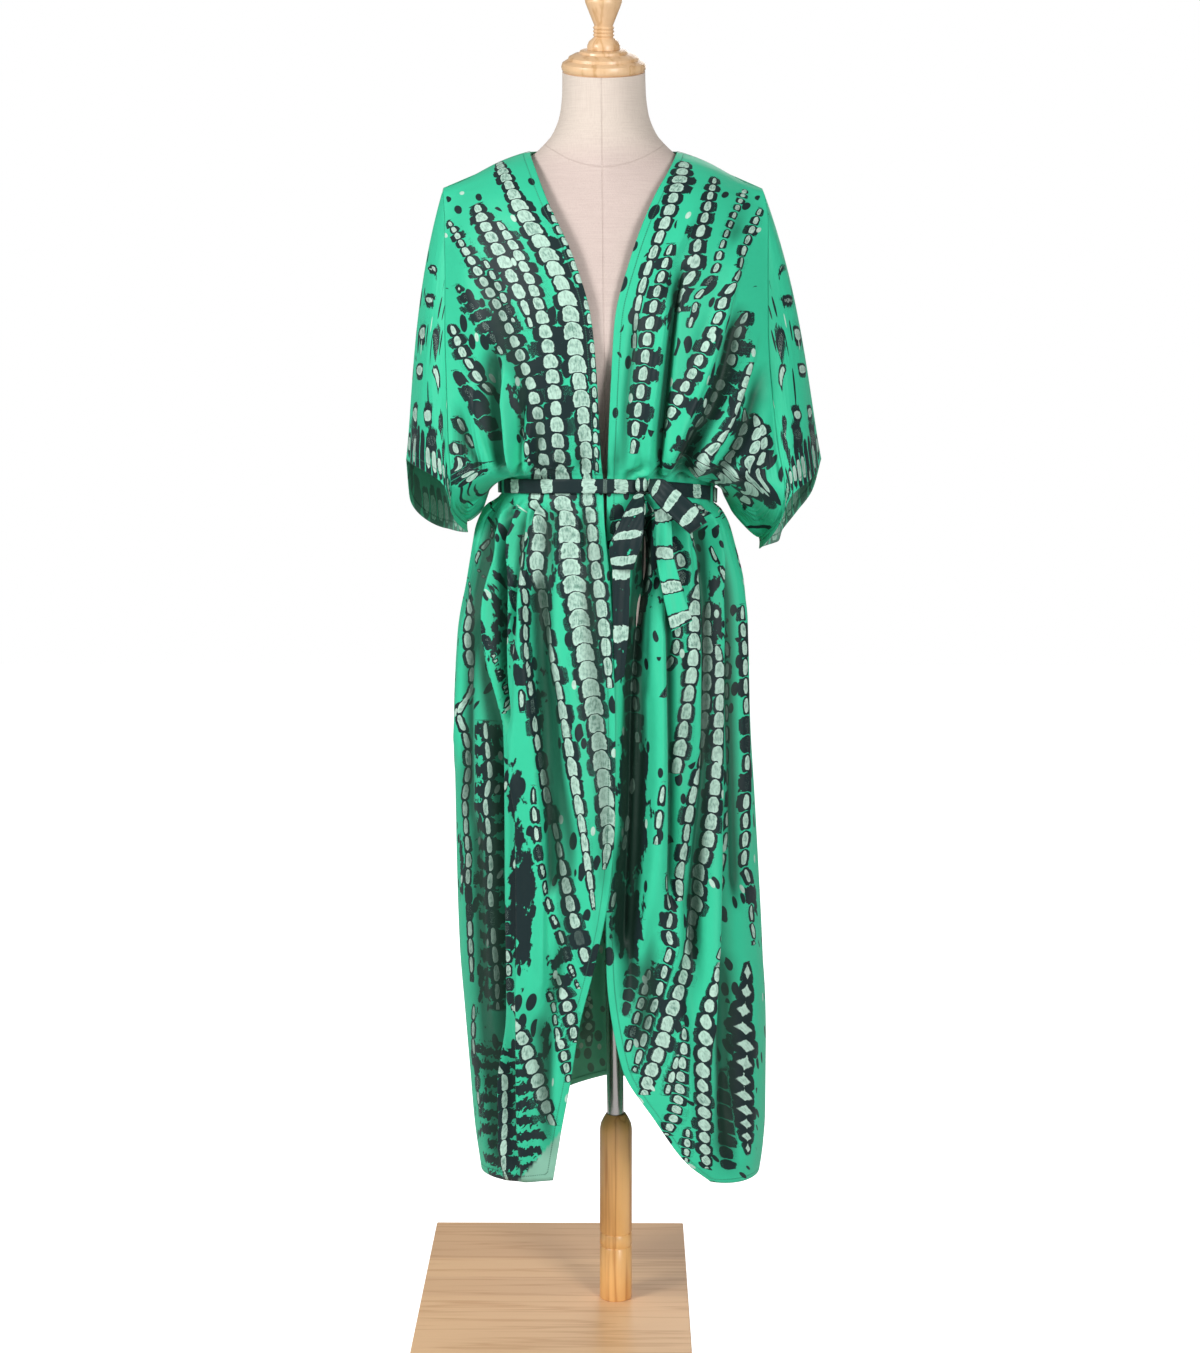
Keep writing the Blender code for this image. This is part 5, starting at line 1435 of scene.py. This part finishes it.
def shell(name, grid, fields, materials, closed=False, wall=CLOTH, inner=1):
    """A thin cloth on a grid of points, its right side away from the middle of the grid's rows."""
    rows, columns = grid.shape[:2]
    faces = grid_faces(rows, columns, closed)
    points = grid.reshape(-1, 3)
    middle = grid.mean(axis=1, keepdims=True)
    if not closed:
        middle = np.broadcast_to((axis_x(1.0), 0.0, 0.0), (1, 1, 3))
    sides = points[faces[:, 2]] - points[faces[:, 0]], points[faces[:, 3]] - points[faces[:, 1]]
    normal = np.cross(*sides)
    away = (grid - middle).reshape(-1, 3)[faces[:, 0]]
    away = away * (1, 1, 0 if not closed else 1)
    if (normal * away).sum() < 0:
        faces = faces[:, ::-1]
    obj = add_mesh(name, points, faces, materials)
    lay_fields(obj, fields)
    thick = obj.modifiers.new("wall", "SOLIDIFY")
    thick.thickness = wall
    thick.offset = 0.0
    thick.use_even_offset = True
    thick.material_offset = inner
    return obj


def turned(name, profile, material, segments, place=(0.0, 0.0, 0.0), tilt=0.0):
    """A round solid from a profile of (radius, height)."""
    angles = np.linspace(0, 2 * math.pi, segments, endpoint=False)
    points = [(r * math.cos(a), r * math.sin(a), h) for r, h in profile[1:-1] for a in angles]
    points += [(0, 0, profile[0][1]), (0, 0, profile[-1][1])]
    obj = add_mesh(name, points, capped_faces(len(profile) - 2, segments), [material])
    obj.data.set_sharp_from_angle(angle=TURNED_CREASE)
    obj.location = place
    obj.rotation_euler = (tilt, 0, 0)
    return obj


def object_place(g):
    """Each point's place in its object's own frame."""
    return g.node("TexCoord").outputs["Object"]


NECK_SEAM = 1.372  # height of the seam round the neck's foot, in the middle
NECK_SEAM_MIDDLE = 0.014  # how far left of x = 0 that middle is
NECK_SEAM_CURVE, NECK_SEAM_SLANT = 5.0, 0.10  # how the seam rises to the sides and backwards
NECK_PALE = (1.36, 1.41)  # the linen grows paler between these heights
LINEN, LINEN_SHADE = (0.67, 0.55, 0.50, 1.0), (0.57, 0.45, 0.41, 1.0)
NECK_LINEN, NECK_LINEN_SHADE = (0.72, 0.62, 0.54, 1.0), (0.62, 0.52, 0.45, 1.0)
LINEN_SEAM = (0.36, 0.26, 0.22, 1.0)
LINEN_THREADS = 1300.0  # scale of the noise that draws the threads


def linen_material():
    """Undyed linen in plain weave, paler and warmer at the neck."""
    g = Graph("linen")
    place = object_place(g)
    x, y, z = g.split(place)
    warp = g.noise(g.vector("MULTIPLY", place, (1.0, 1.0, 0.03)), LINEN_THREADS, 1.0)
    weft = g.noise(g.vector("MULTIPLY", place, (0.03, 0.03, 1.0)), LINEN_THREADS, 1.0)
    weave = g.add(warp, weft)
    slub = g.rise(weave, 0.8, 1.25)
    neck = g.rise(z, *NECK_PALE)
    base = g.blend(neck, LINEN, NECK_LINEN)
    shade = g.blend(neck, LINEN_SHADE, NECK_LINEN_SHADE)
    colour = g.blend(g.times(slub, 0.55), base, shade)
    seam_x = g.math("ABSOLUTE", g.add(x, g.times(z, LEAN)))
    front_seam = g.times(g.rise(seam_x, 0.0012, 0.0004), g.rise(y, 0.0, -0.02))
    from_middle = g.math("ABSOLUTE", g.add(x, NECK_SEAM_MIDDLE))
    curve = g.add(z, g.times(g.math("POWER", from_middle, 2.0), -NECK_SEAM_CURVE))
    curve = g.add(curve, g.times(y, -NECK_SEAM_SLANT))
    neck_seam = g.rise(g.math("ABSOLUTE", g.math("SUBTRACT", curve, NECK_SEAM)), 0.0011, 0.0004)
    seam = g.math("MAXIMUM", front_seam, neck_seam)
    colour = g.blend(g.times(seam, 0.22), colour, LINEN_SEAM)
    normal = g.bump(g.add(weave, g.times(seam, -2.0)), 0.0003, 0.6)
    return g.finish({"Base Color": colour, "Roughness": 0.92, "Normal": normal})


def wood_material(name, stretch, light, dark, stave=0.0):
    """Lacquered pine; stretch is small along the grain, stave the width of glued strips."""
    g = Graph(name)
    place = object_place(g)
    if stave:
        strip = g.math("FLOOR", g.math("DIVIDE", g.split(place)[1], stave))
        tone = g.node("TexWhiteNoise", {"W": strip}, noise_dimensions="1D")
        place = g.vector("ADD", place, tone.outputs["Color"])
    grained = g.vector("MULTIPLY", place, stretch)
    broad = g.noise(grained, 34.0, 3.0, 0.55)
    rings = g.math("PINGPONG", g.times(broad, 9.0), 1.0)
    fine = g.noise(grained, FINE_GRAIN, 2.0)
    lines = g.add(g.times(g.math("POWER", rings, 3.0), 0.60), g.times(fine, 0.45))
    colour = g.blend(g.rise(lines, 0.15, 0.95), light, dark)
    if stave:
        share = g.times(g.split(tone.outputs["Color"])[0], 0.30)
        colour = g.blend(share, colour, (0.40, 0.19, 0.10, 1.0))
    normal = g.bump(fine, 0.0002, 0.3)
    return g.finish({
        "Base Color": colour,
        "Roughness": 0.38,
        "Normal": normal,
        "Coat Weight": 0.25,
        "Coat Roughness": 0.25,
    })


def steel_material():
    """The pole's polished steel."""
    g = Graph("pole steel")
    return g.finish({"Base Color": POLE_STEEL, "Metallic": 1.0, "Roughness": 0.22})


# ---------------------------------------------------------------- the garment


def tie(obj, node):
    """Puts a piece in the place of a node of the frame, whose solid it hides, still on the root."""
    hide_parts(node)
    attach(obj, "root")


def declare(obj, node):
    """Ties a cloth piece to its node.
    """
    tie(obj, node)


def hem_fields(across, edges, painted_shade=0.0):
    """Distance from the nearest turned edge in hem widths, the run along it, and the painted shade
    of the valleys.
    """
    far = np.full(across.shape, FAR)
    run = np.zeros(across.shape)
    for distance, along, width in edges:
        near = distance / width < far
        far = np.where(near, distance / width, far)
        run = np.where(near, along, run)
    return {"hem": np.stack([far, run, painted_shade + np.zeros(across.shape)], axis=2)}


def panel_fields(layout, grid, edges_of, painted_shade):
    """A panel's print, hems and painted valley shade; edges_of gives its turned edges."""
    across = run_along(grid, 1)
    down = run_along(grid, 0)[:, :1] + np.zeros_like(across)
    fields = print_fields(layout, across, down)
    fields.update(hem_fields(across, edges_of(across, down), painted_shade))
    return fields


# down, half width and pitch in the photograph's pixels, halo, light
SLEEVE_BANDS = (
    (214, 2.5, 130, 0.6, 0.6),
    (266, 2.2, 110, 0.9, 0.6),
    (299, 3.0, 142, 0.9, 0.7),
    (333, 3.5, 120, 0.8, 0.6),
    (368, 4.5, 150, 0.5, 0.9),
    (413, 3.0, 116, 0.8, 0.6),
    (438, 3.5, 135, 0.9, 0.5),
)


def sleeve_fields(seed, grid):
    """The sleeve's print: bands across it at even heights, and a row of cells along its cuff."""
    across = run_along(grid, 1)
    down = run_along(grid, 0)
    share = np.linspace(0, 1, grid.shape[1])[None, :] + np.zeros_like(across)
    drop, _ = seen_from_front(grid)
    cuff_gap = (down[-1:] - down) / PIXEL
    draw = random.Random(seed)
    bands = []
    for place, half, pitch, halo, light in SLEEVE_BANDS:
        track = tuple(
            (turn / 4, place + draw.uniform(-4, 4), half * draw.uniform(0.7, 1.4))
            for turn in range(5)
        )
        bands.append(Column("a", (pitch, pitch), halo, light, 0.42, 0.1, 0, track))
    cuff_track = tuple((turn / 4, -16 - draw.uniform(-1, 1), 4.5) for turn in range(5))
    cuff_row = Column("b", (30, 34), 0.7, 0.6, 0.72, 0.3, 0, cuff_track)
    by_height = Layout(share.T, drop.T, PIXEL, tuple(bands), ())
    by_cuff = Layout(share.T, -cuff_gap.T, PIXEL, (cuff_row,), ())
    fields = print_fields(by_height, down.T, across.T)
    cuff_fields = print_fields(by_cuff, down.T, across.T)
    fields.update({name: cuff_fields[name] for name in ("cells_b", "style_b", "form_b")})
    fields = {name: values.swapaxes(0, 1) for name, values in fields.items()}
    fields["place"] = np.stack([across, down, np.zeros_like(across)], axis=2)
    fields.update(hem_fields(across, cuff_edges(across, down)))
    return fields


def front_edges(across, down):
    """A front panel's turned edges: its front edge and its bottom."""
    return (
        (across, down, HEM_FRONT),
        (down[-1:] - down, across, HEM_FRONT),
        (down, across, SEAM_LINE),
    )


def back_edges(across, down):
    """The back's turned edge, its bottom."""
    return (
        (down[-1:] - down, across, HEM_FRONT),
        (down, across, SEAM_LINE),
    )


def cuff_edges(across, down):
    """A sleeve's turned edge, at its cuff."""
    return (
        (down[-1:] - down, across, HEM_CUFF),
        (down, across, SEAM_LINE),
    )


TURN_UP = ((1174, 524), (1131, 561))  # the line it is turned up along: (down, across)


def turned_corner(layout):
    """1 where the left front's low corner is turned up and shows the wrong side."""
    (down_a, across_a), (down_b, across_b) = TURN_UP
    beyond = (layout.across - across_a) * (down_a - down_b)
    beyond -= (down_a - layout.down) * (across_b - across_a)
    return np.clip(beyond / math.dist(*TURN_UP), 0, 1) * (layout.down > TURN_UP[1][0] - 1)


def build_garment(cloth, cloth_back):
    """The two fronts, the back and the two sleeves."""
    shown = [cloth, cloth_back]
    fronts = (
        ("front_left", LEFT_LEVELS, CREASES_LEFT, COLUMNS_LEFT, BLOTCHES_AND_SHADE_LEFT),
        ("front_right", RIGHT_LEVELS, CREASES_RIGHT, COLUMNS_RIGHT, BLOTCHES_AND_SHADE_RIGHT),
    )
    for panel, levels, creases, tracks, blotches in fronts:
        grid, painted_shade = folded(panel, front_base(levels), creases)
        layout = Layout(*seen_from_front(grid), PIXEL, columns(tracks), blotches)
        fields = panel_fields(layout, grid, front_edges, painted_shade)
        if panel == "front_left":
            fields["patch"][:, :, 2] = turned_corner(layout)
        obj = shell(panel + "_cloth", grid, fields, shown)
        declare(obj, panel)
    grid, painted_shade = folded("back", back_base())
    across = run_along(grid, 1)
    down = run_along(grid, 0)[:, :1] + np.zeros_like(across)
    middle = across[:, across.shape[1] // 2][:, None]
    layout = Layout(
        down * 1000,
        (across - middle) * 1000,
        0.001,
        scattered(seed=7, count=15, down=(20, 1340), across=(-250, 250), width=(3.0, 7.0)),
        BLOTCHES_BACK,
    )
    fields = panel_fields(layout, grid, back_edges, painted_shade)
    obj = shell("back_cloth", grid, fields, shown)
    declare(obj, "back")
    sides = (("left", LEFT_LEVELS, LEFT_CUFF, 3), ("right", RIGHT_LEVELS, RIGHT_CUFF, 5))
    for side, levels, cuff, seed in sides:
        node = "sleeve_" + side
        grid = sleeve(levels, cuff, SLEEVE_COLUMNS, SLEEVE_ROWS)
        obj = shell(node + "_cloth", grid, sleeve_fields(seed, grid), shown, closed=True)
        declare(obj, node)


BAND_FILL = 0.92  # the part of a band's half width that counts as a cell's
BAND_SEED = 50  # makes each band's cells differ

# How the print falls on a band: pitch of its cells, halo, fill, squareness, darkness between
# them, and where the first cell starts.
BandPrint = namedtuple("BandPrint", "pitch halo fill blocky dark start")
BELT_PRINT = BandPrint(0.0490, 0.0, 0.30, 1.3, 1.0, 0.0)
BOW_PRINTS = {
    "bow_loop_left": BandPrint(0.0280, 0.6, 0.36, 0.1, 0.60, 0.2),
    "bow_loop_right": BandPrint(0.0240, 0.7, 0.40, 0.1, 0.62, 0.6),
    "belt_end_left": BandPrint(0.0700, 0.6, 0.30, 0.2, 0.62, 0.15),
    "belt_end_right": BandPrint(0.0400, 1.0, 0.34, 0.6, 0.0, 0.62),
    "belt_knot": BandPrint(0.0090, 0.5, 0.60, 0.2, 0.60, 0.0),
}


def band_fields(side, along, half, style):
    """The print on a narrow band: one row of cells down its middle."""
    zero, one = np.zeros_like(side), np.ones_like(side)
    phase, seed = along / style.pitch + style.start, BAND_SEED * style.pitch
    cells = np.stack([np.abs(side) / half * BAND_FILL, phase, side / half], axis=2)
    none = np.stack([FAR * one, zero, zero], axis=2)
    return {
        "place": np.stack([side, along, zero], axis=2),
        "cells_a": cells,
        "style_a": np.stack([style.halo * one, one, -one], axis=2),
        "form_a": np.stack([style.blocky * one, seed * one, style.fill * one], axis=2),
        "cells_b": none,
        "style_b": none * 0,
        "form_b": none * 0 + 1,
        "patch": np.stack([style.dark * one, zero, zero], axis=2),
        "hem": np.stack([FAR * one, zero, zero], axis=2),
    }


def build_belt(cloth):
    """The belt round the waist, flat under its own pull, with a few slack waves."""
    loop = waist_loop(BELT_FACETS)
    outward = ring_normals(loop)
    step = np.linalg.norm(np.diff(loop, axis=0), axis=1)
    run = np.concatenate([[0.0], np.cumsum(step)])
    heights = np.linspace(-0.5, 0.5, BELT_ROWS) * BELT_HEIGHT
    stand_off = WAIST_CLOTH + BELT_EASE + BELT_WALL / 2
    wave = BELT_WAVE * np.sin(run * BELT_WAVES[0]) * np.sin(run * BELT_WAVES[1])
    grid = np.array([
        loop + outward * (stand_off + (wave * (1 + h / BELT_HEIGHT))[:, None]) + (0, 0, h)
        for h in heights
    ])
    across = run[None, :] + np.zeros((len(heights), 1))
    down = heights[:, None] + np.zeros_like(across)
    fields = band_fields(down, across + BELT_PRINT_START, BELT_HEIGHT / 2, BELT_PRINT)
    obj = shell("belt_cloth", grid, fields, [cloth, cloth], closed=True, wall=BELT_WALL, inner=0)
    declare(obj, "belt")


def build_bow(cloth):
    """The loops and ends of the tied belt: pressed bands with shallow ripples, and the knot."""
    for node, rows in BOW.items():
        middle = np.array([(row.x, row.y, row.z) for row in rows])
        wide = np.array([(row.wide_x, 0.0, row.wide_z) for row in rows])
        steps = np.linspace(-1, 1, BAND_COLUMNS)
        curves = np.stack([middle + wide * s for s in steps], axis=1)
        grid = lofted(curves, BAND_STEP)
        side = run_along(grid, 1)
        half = side[:, -1:] / 2
        down = run_along(grid, 0)[:, :1] + np.zeros_like(side)
        ripple = BAND_RIPPLE * np.sin(side / RIPPLE_WIDTH * math.pi + down / RIPPLE_TWIST)
        ends = np.minimum(down, down[-1:] - down)
        grid[:, :, 1] -= ripple * np.clip(ends / RIPPLE_FADE, 0, 1)
        fields = band_fields(side - half, down, np.maximum(half, BAND_LEAST), BOW_PRINTS[node])
        obj = shell(node + "_cloth", grid, fields, [cloth, cloth], wall=BAND_WALL, inner=0)
        declare(obj, node)
    build_knot(cloth)


def build_knot(cloth):
    """The knot: an ellipsoid with squared sides."""
    turns = np.linspace(0, 2 * math.pi, KNOT_COLUMNS, endpoint=False)
    lifts = np.linspace(-0.5, 0.5, KNOT_ROWS) * math.pi
    points = [
        (
            KNOT_PLACE[0] + KNOT_SIZE[0] * squared(math.cos(a)) * squared(math.cos(b)),
            KNOT_PLACE[1] + KNOT_SIZE[1] * squared(math.sin(a)) * squared(math.cos(b)),
            KNOT_PLACE[2] + KNOT_SIZE[2] * squared(math.sin(b)),
        )
        for b in lifts[1:-1]
        for a in turns
    ]
    x, y, z = KNOT_PLACE
    points += [(x, y, z - KNOT_SIZE[2]), (x, y, z + KNOT_SIZE[2])]
    faces = capped_faces(KNOT_ROWS - 2, KNOT_COLUMNS)
    obj = add_mesh("belt_knot_cloth", points, faces, [cloth])
    middle = np.array(points)[None, :, :] - KNOT_PLACE
    fields = band_fields(middle[:, :, 2], middle[:, :, 0], KNOT_SIZE[2], BOW_PRINTS["belt_knot"])
    lay_fields(obj, fields)
    tie(obj, "belt_knot")


# ---------------------------------------------------------------- the form and its stand


def spread(rings, step):
    """The rings with more between them, on smooth curves."""
    heights = [ring.z for ring in rings]
    places = np.arange(heights[0], heights[-1], step)
    places = np.append(places, heights[-1])
    values = smooth_through(heights, [ring[1:] for ring in rings], places)
    return [Ring(z, *row) for z, row in zip(places, values)]


def build_torso(linen):
    """The form's torso and neck, closed below and above."""
    rings = spread(TORSO_RINGS, ROW_STEP)
    angles = np.linspace(0, 2 * math.pi, TORSO_SEGMENTS, endpoint=False)
    grid = np.array([[torso_point(ring, a) for a in angles] for ring in rings])
    points = list(grid.reshape(-1, 3))
    points += [grid[0].mean(axis=0), grid[-1].mean(axis=0)]
    form = add_mesh("torso_linen", points, capped_faces(len(rings), TORSO_SEGMENTS), [linen])
    form.data.set_sharp_from_angle(angle=TORSO_CREASE)
    tie(form, "form_torso")


def build_turned(wood, turned_wood):
    """The cap and the finial on the neck's tilted top, and the column on the board."""
    neck_place = (axis_x(NECK_TOP), -NECK_FORWARD, NECK_TOP)
    cap = turned("cap_wood", CAP_PROFILE, turned_wood, 96, neck_place, NECK_TILT)
    finial = turned("finial_wood", FINIAL_PROFILE, turned_wood, 64, neck_place, NECK_TILT)
    column = turned("column_wood", COLUMN_PROFILE, wood, 72)
    for obj, node in ((cap, "neck_cap"), (finial, "finial"), (column, "stand_column")):
        tie(obj, node)


def build_pole(steel):
    """The leaning pole, from the column's top to the form."""
    foot = COLUMN_TOP + CONTACT
    height = (FORM_BOTTOM - CONTACT - foot) * math.hypot(1, LEAN)
    profile = ((0, 0), (POLE_RADIUS, 0), (POLE_RADIUS, height), (0, height))
    pole = turned("pole_steel", profile, steel, 64, (axis_x(foot), 0, foot))
    pole.rotation_euler = (0, -math.atan(LEAN), 0)
    tie(pole, "stand_pole")


def build_base(wood):
    """The base board, with eased edges."""
    size = (BASE_RIGHT - BASE_LEFT, BASE_BACK - BASE_FRONT, BASE_HEIGHT)
    bpy.ops.mesh.primitive_cube_add(size=1)
    board = bpy.context.object
    board.name = "base_board"
    board.data.transform(Matrix.Diagonal((*size, 1)))
    middle = ((BASE_RIGHT + BASE_LEFT) / 2, (BASE_BACK + BASE_FRONT) / 2, BASE_HEIGHT / 2)
    board.data.transform(Matrix.Translation(middle))
    board.data.materials.append(wood)
    bevel = board.modifiers.new("eased edges", "BEVEL")
    bevel.width = BASE_EDGE
    bevel.segments = 3
    tie(board, "stand_base")


# ---------------------------------------------------------------- camera, light and floor


# name, place, what it aims at, width and height, watts
LIGHTS = (
    ("key", (-2.5, -1.9, 2.5), (0, 0, 0.9), (0.9, 1.2), 84),
    ("fill", (1.6, -3.0, 1.6), (0, 0, 0.9), (1.0, 1.6), 66),
    ("back", (0.6, 2.6, 2.4), (0, 0, 1.0), (1.6, 1.6), 24),
)


def build_world():
    """A dim white world, which the camera itself sees as plain white."""
    world = bpy.data.worlds.new("studio")
    bpy.context.scene.world = world
    world.use_nodes = True
    tree = world.node_tree
    tree.nodes.clear()
    kinds = ("OutputWorld", "Background", "Background", "LightPath", "MixShader")
    out, seen, around, path, mix = (tree.nodes.new("ShaderNode" + kind) for kind in kinds)
    for background in (seen, around):
        background.inputs["Color"].default_value = WHITE
    around.inputs["Strength"].default_value = WORLD_LIGHT
    tree.links.new(path.outputs["Is Camera Ray"], mix.inputs[0])
    tree.links.new(around.outputs[0], mix.inputs[1])
    tree.links.new(seen.outputs[0], mix.inputs[2])
    tree.links.new(mix.outputs[0], out.inputs[0])


def area_light(name, place, aim, size, power):
    """A rectangular light that looks at a point."""
    data = bpy.data.lights.new(name, "AREA")
    data.shape = "RECTANGLE"
    data.size, data.size_y = size
    data.energy = power
    light = bpy.data.objects.new(name, data)
    light.location = place
    light.rotation_euler = (Vector(aim) - Vector(place)).to_track_quat("-Z", "Y").to_euler()
    bpy.context.scene.collection.objects.link(light)


def build_floor():
    """A grey floor that glows for the camera alone, so that it shows near white."""
    bpy.ops.mesh.primitive_plane_add(size=12)
    floor = bpy.context.object
    floor.name = "floor"
    g = Graph("floor")
    camera_ray = g.node("LightPath").outputs["Is Camera Ray"]
    material = g.finish({
        "Base Color": FLOOR_GREY,
        "Roughness": 1.0,
        "Emission Color": WHITE,
        "Emission Strength": g.times(camera_ray, FLOOR_GLOW),
    })
    floor.data.materials.append(material)


def place_camera():
    """The camera, where the photograph's stood."""
    data = bpy.data.cameras.new("camera")
    camera = bpy.data.objects.new("camera", data)
    data.sensor_width = SENSOR
    data.lens = FOCAL_PIXELS * SENSOR / PHOTO_HEIGHT
    camera.location = CAMERA_PLACE
    camera.rotation_euler = (math.pi / 2 - CAMERA_PITCH, 0, CAMERA_YAW)
    bpy.context.scene.collection.objects.link(camera)
    bpy.context.scene.camera = camera


def build_stage():
    bpy.context.scene.view_settings.view_transform = "Standard"
    build_world()
    for light in LIGHTS:
        area_light(*light)
    build_floor()
    place_camera()


def main():
    cloth = cloth_material("satin print")
    cloth_back = cloth_material("satin print, wrong side", FADE)
    linen = linen_material()
    upright = (1.0, 1.0, 0.05)
    column_wood = wood_material("column wood", upright, COLUMN_WOOD, COLUMN_GRAIN)
    turned_wood = wood_material("turned wood", upright, TURNED_WOOD, TURNED_GRAIN)
    board_wood = wood_material("board wood", (0.06, 1.0, 1.0), BOARD_WOOD, BOARD_GRAIN, BOARD_STAVE)
    build_garment(cloth, cloth_back)
    build_belt(cloth)
    build_bow(cloth)
    build_torso(linen)
    build_turned(column_wood, turned_wood)
    build_pole(steel_material())
    build_base(board_wood)
    for node in ("belt_carrier_left", "belt_carrier_right"):
        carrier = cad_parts[node]
        carrier.data.materials.clear()
        carrier.data.materials.append(cloth)
    build_stage()


main()
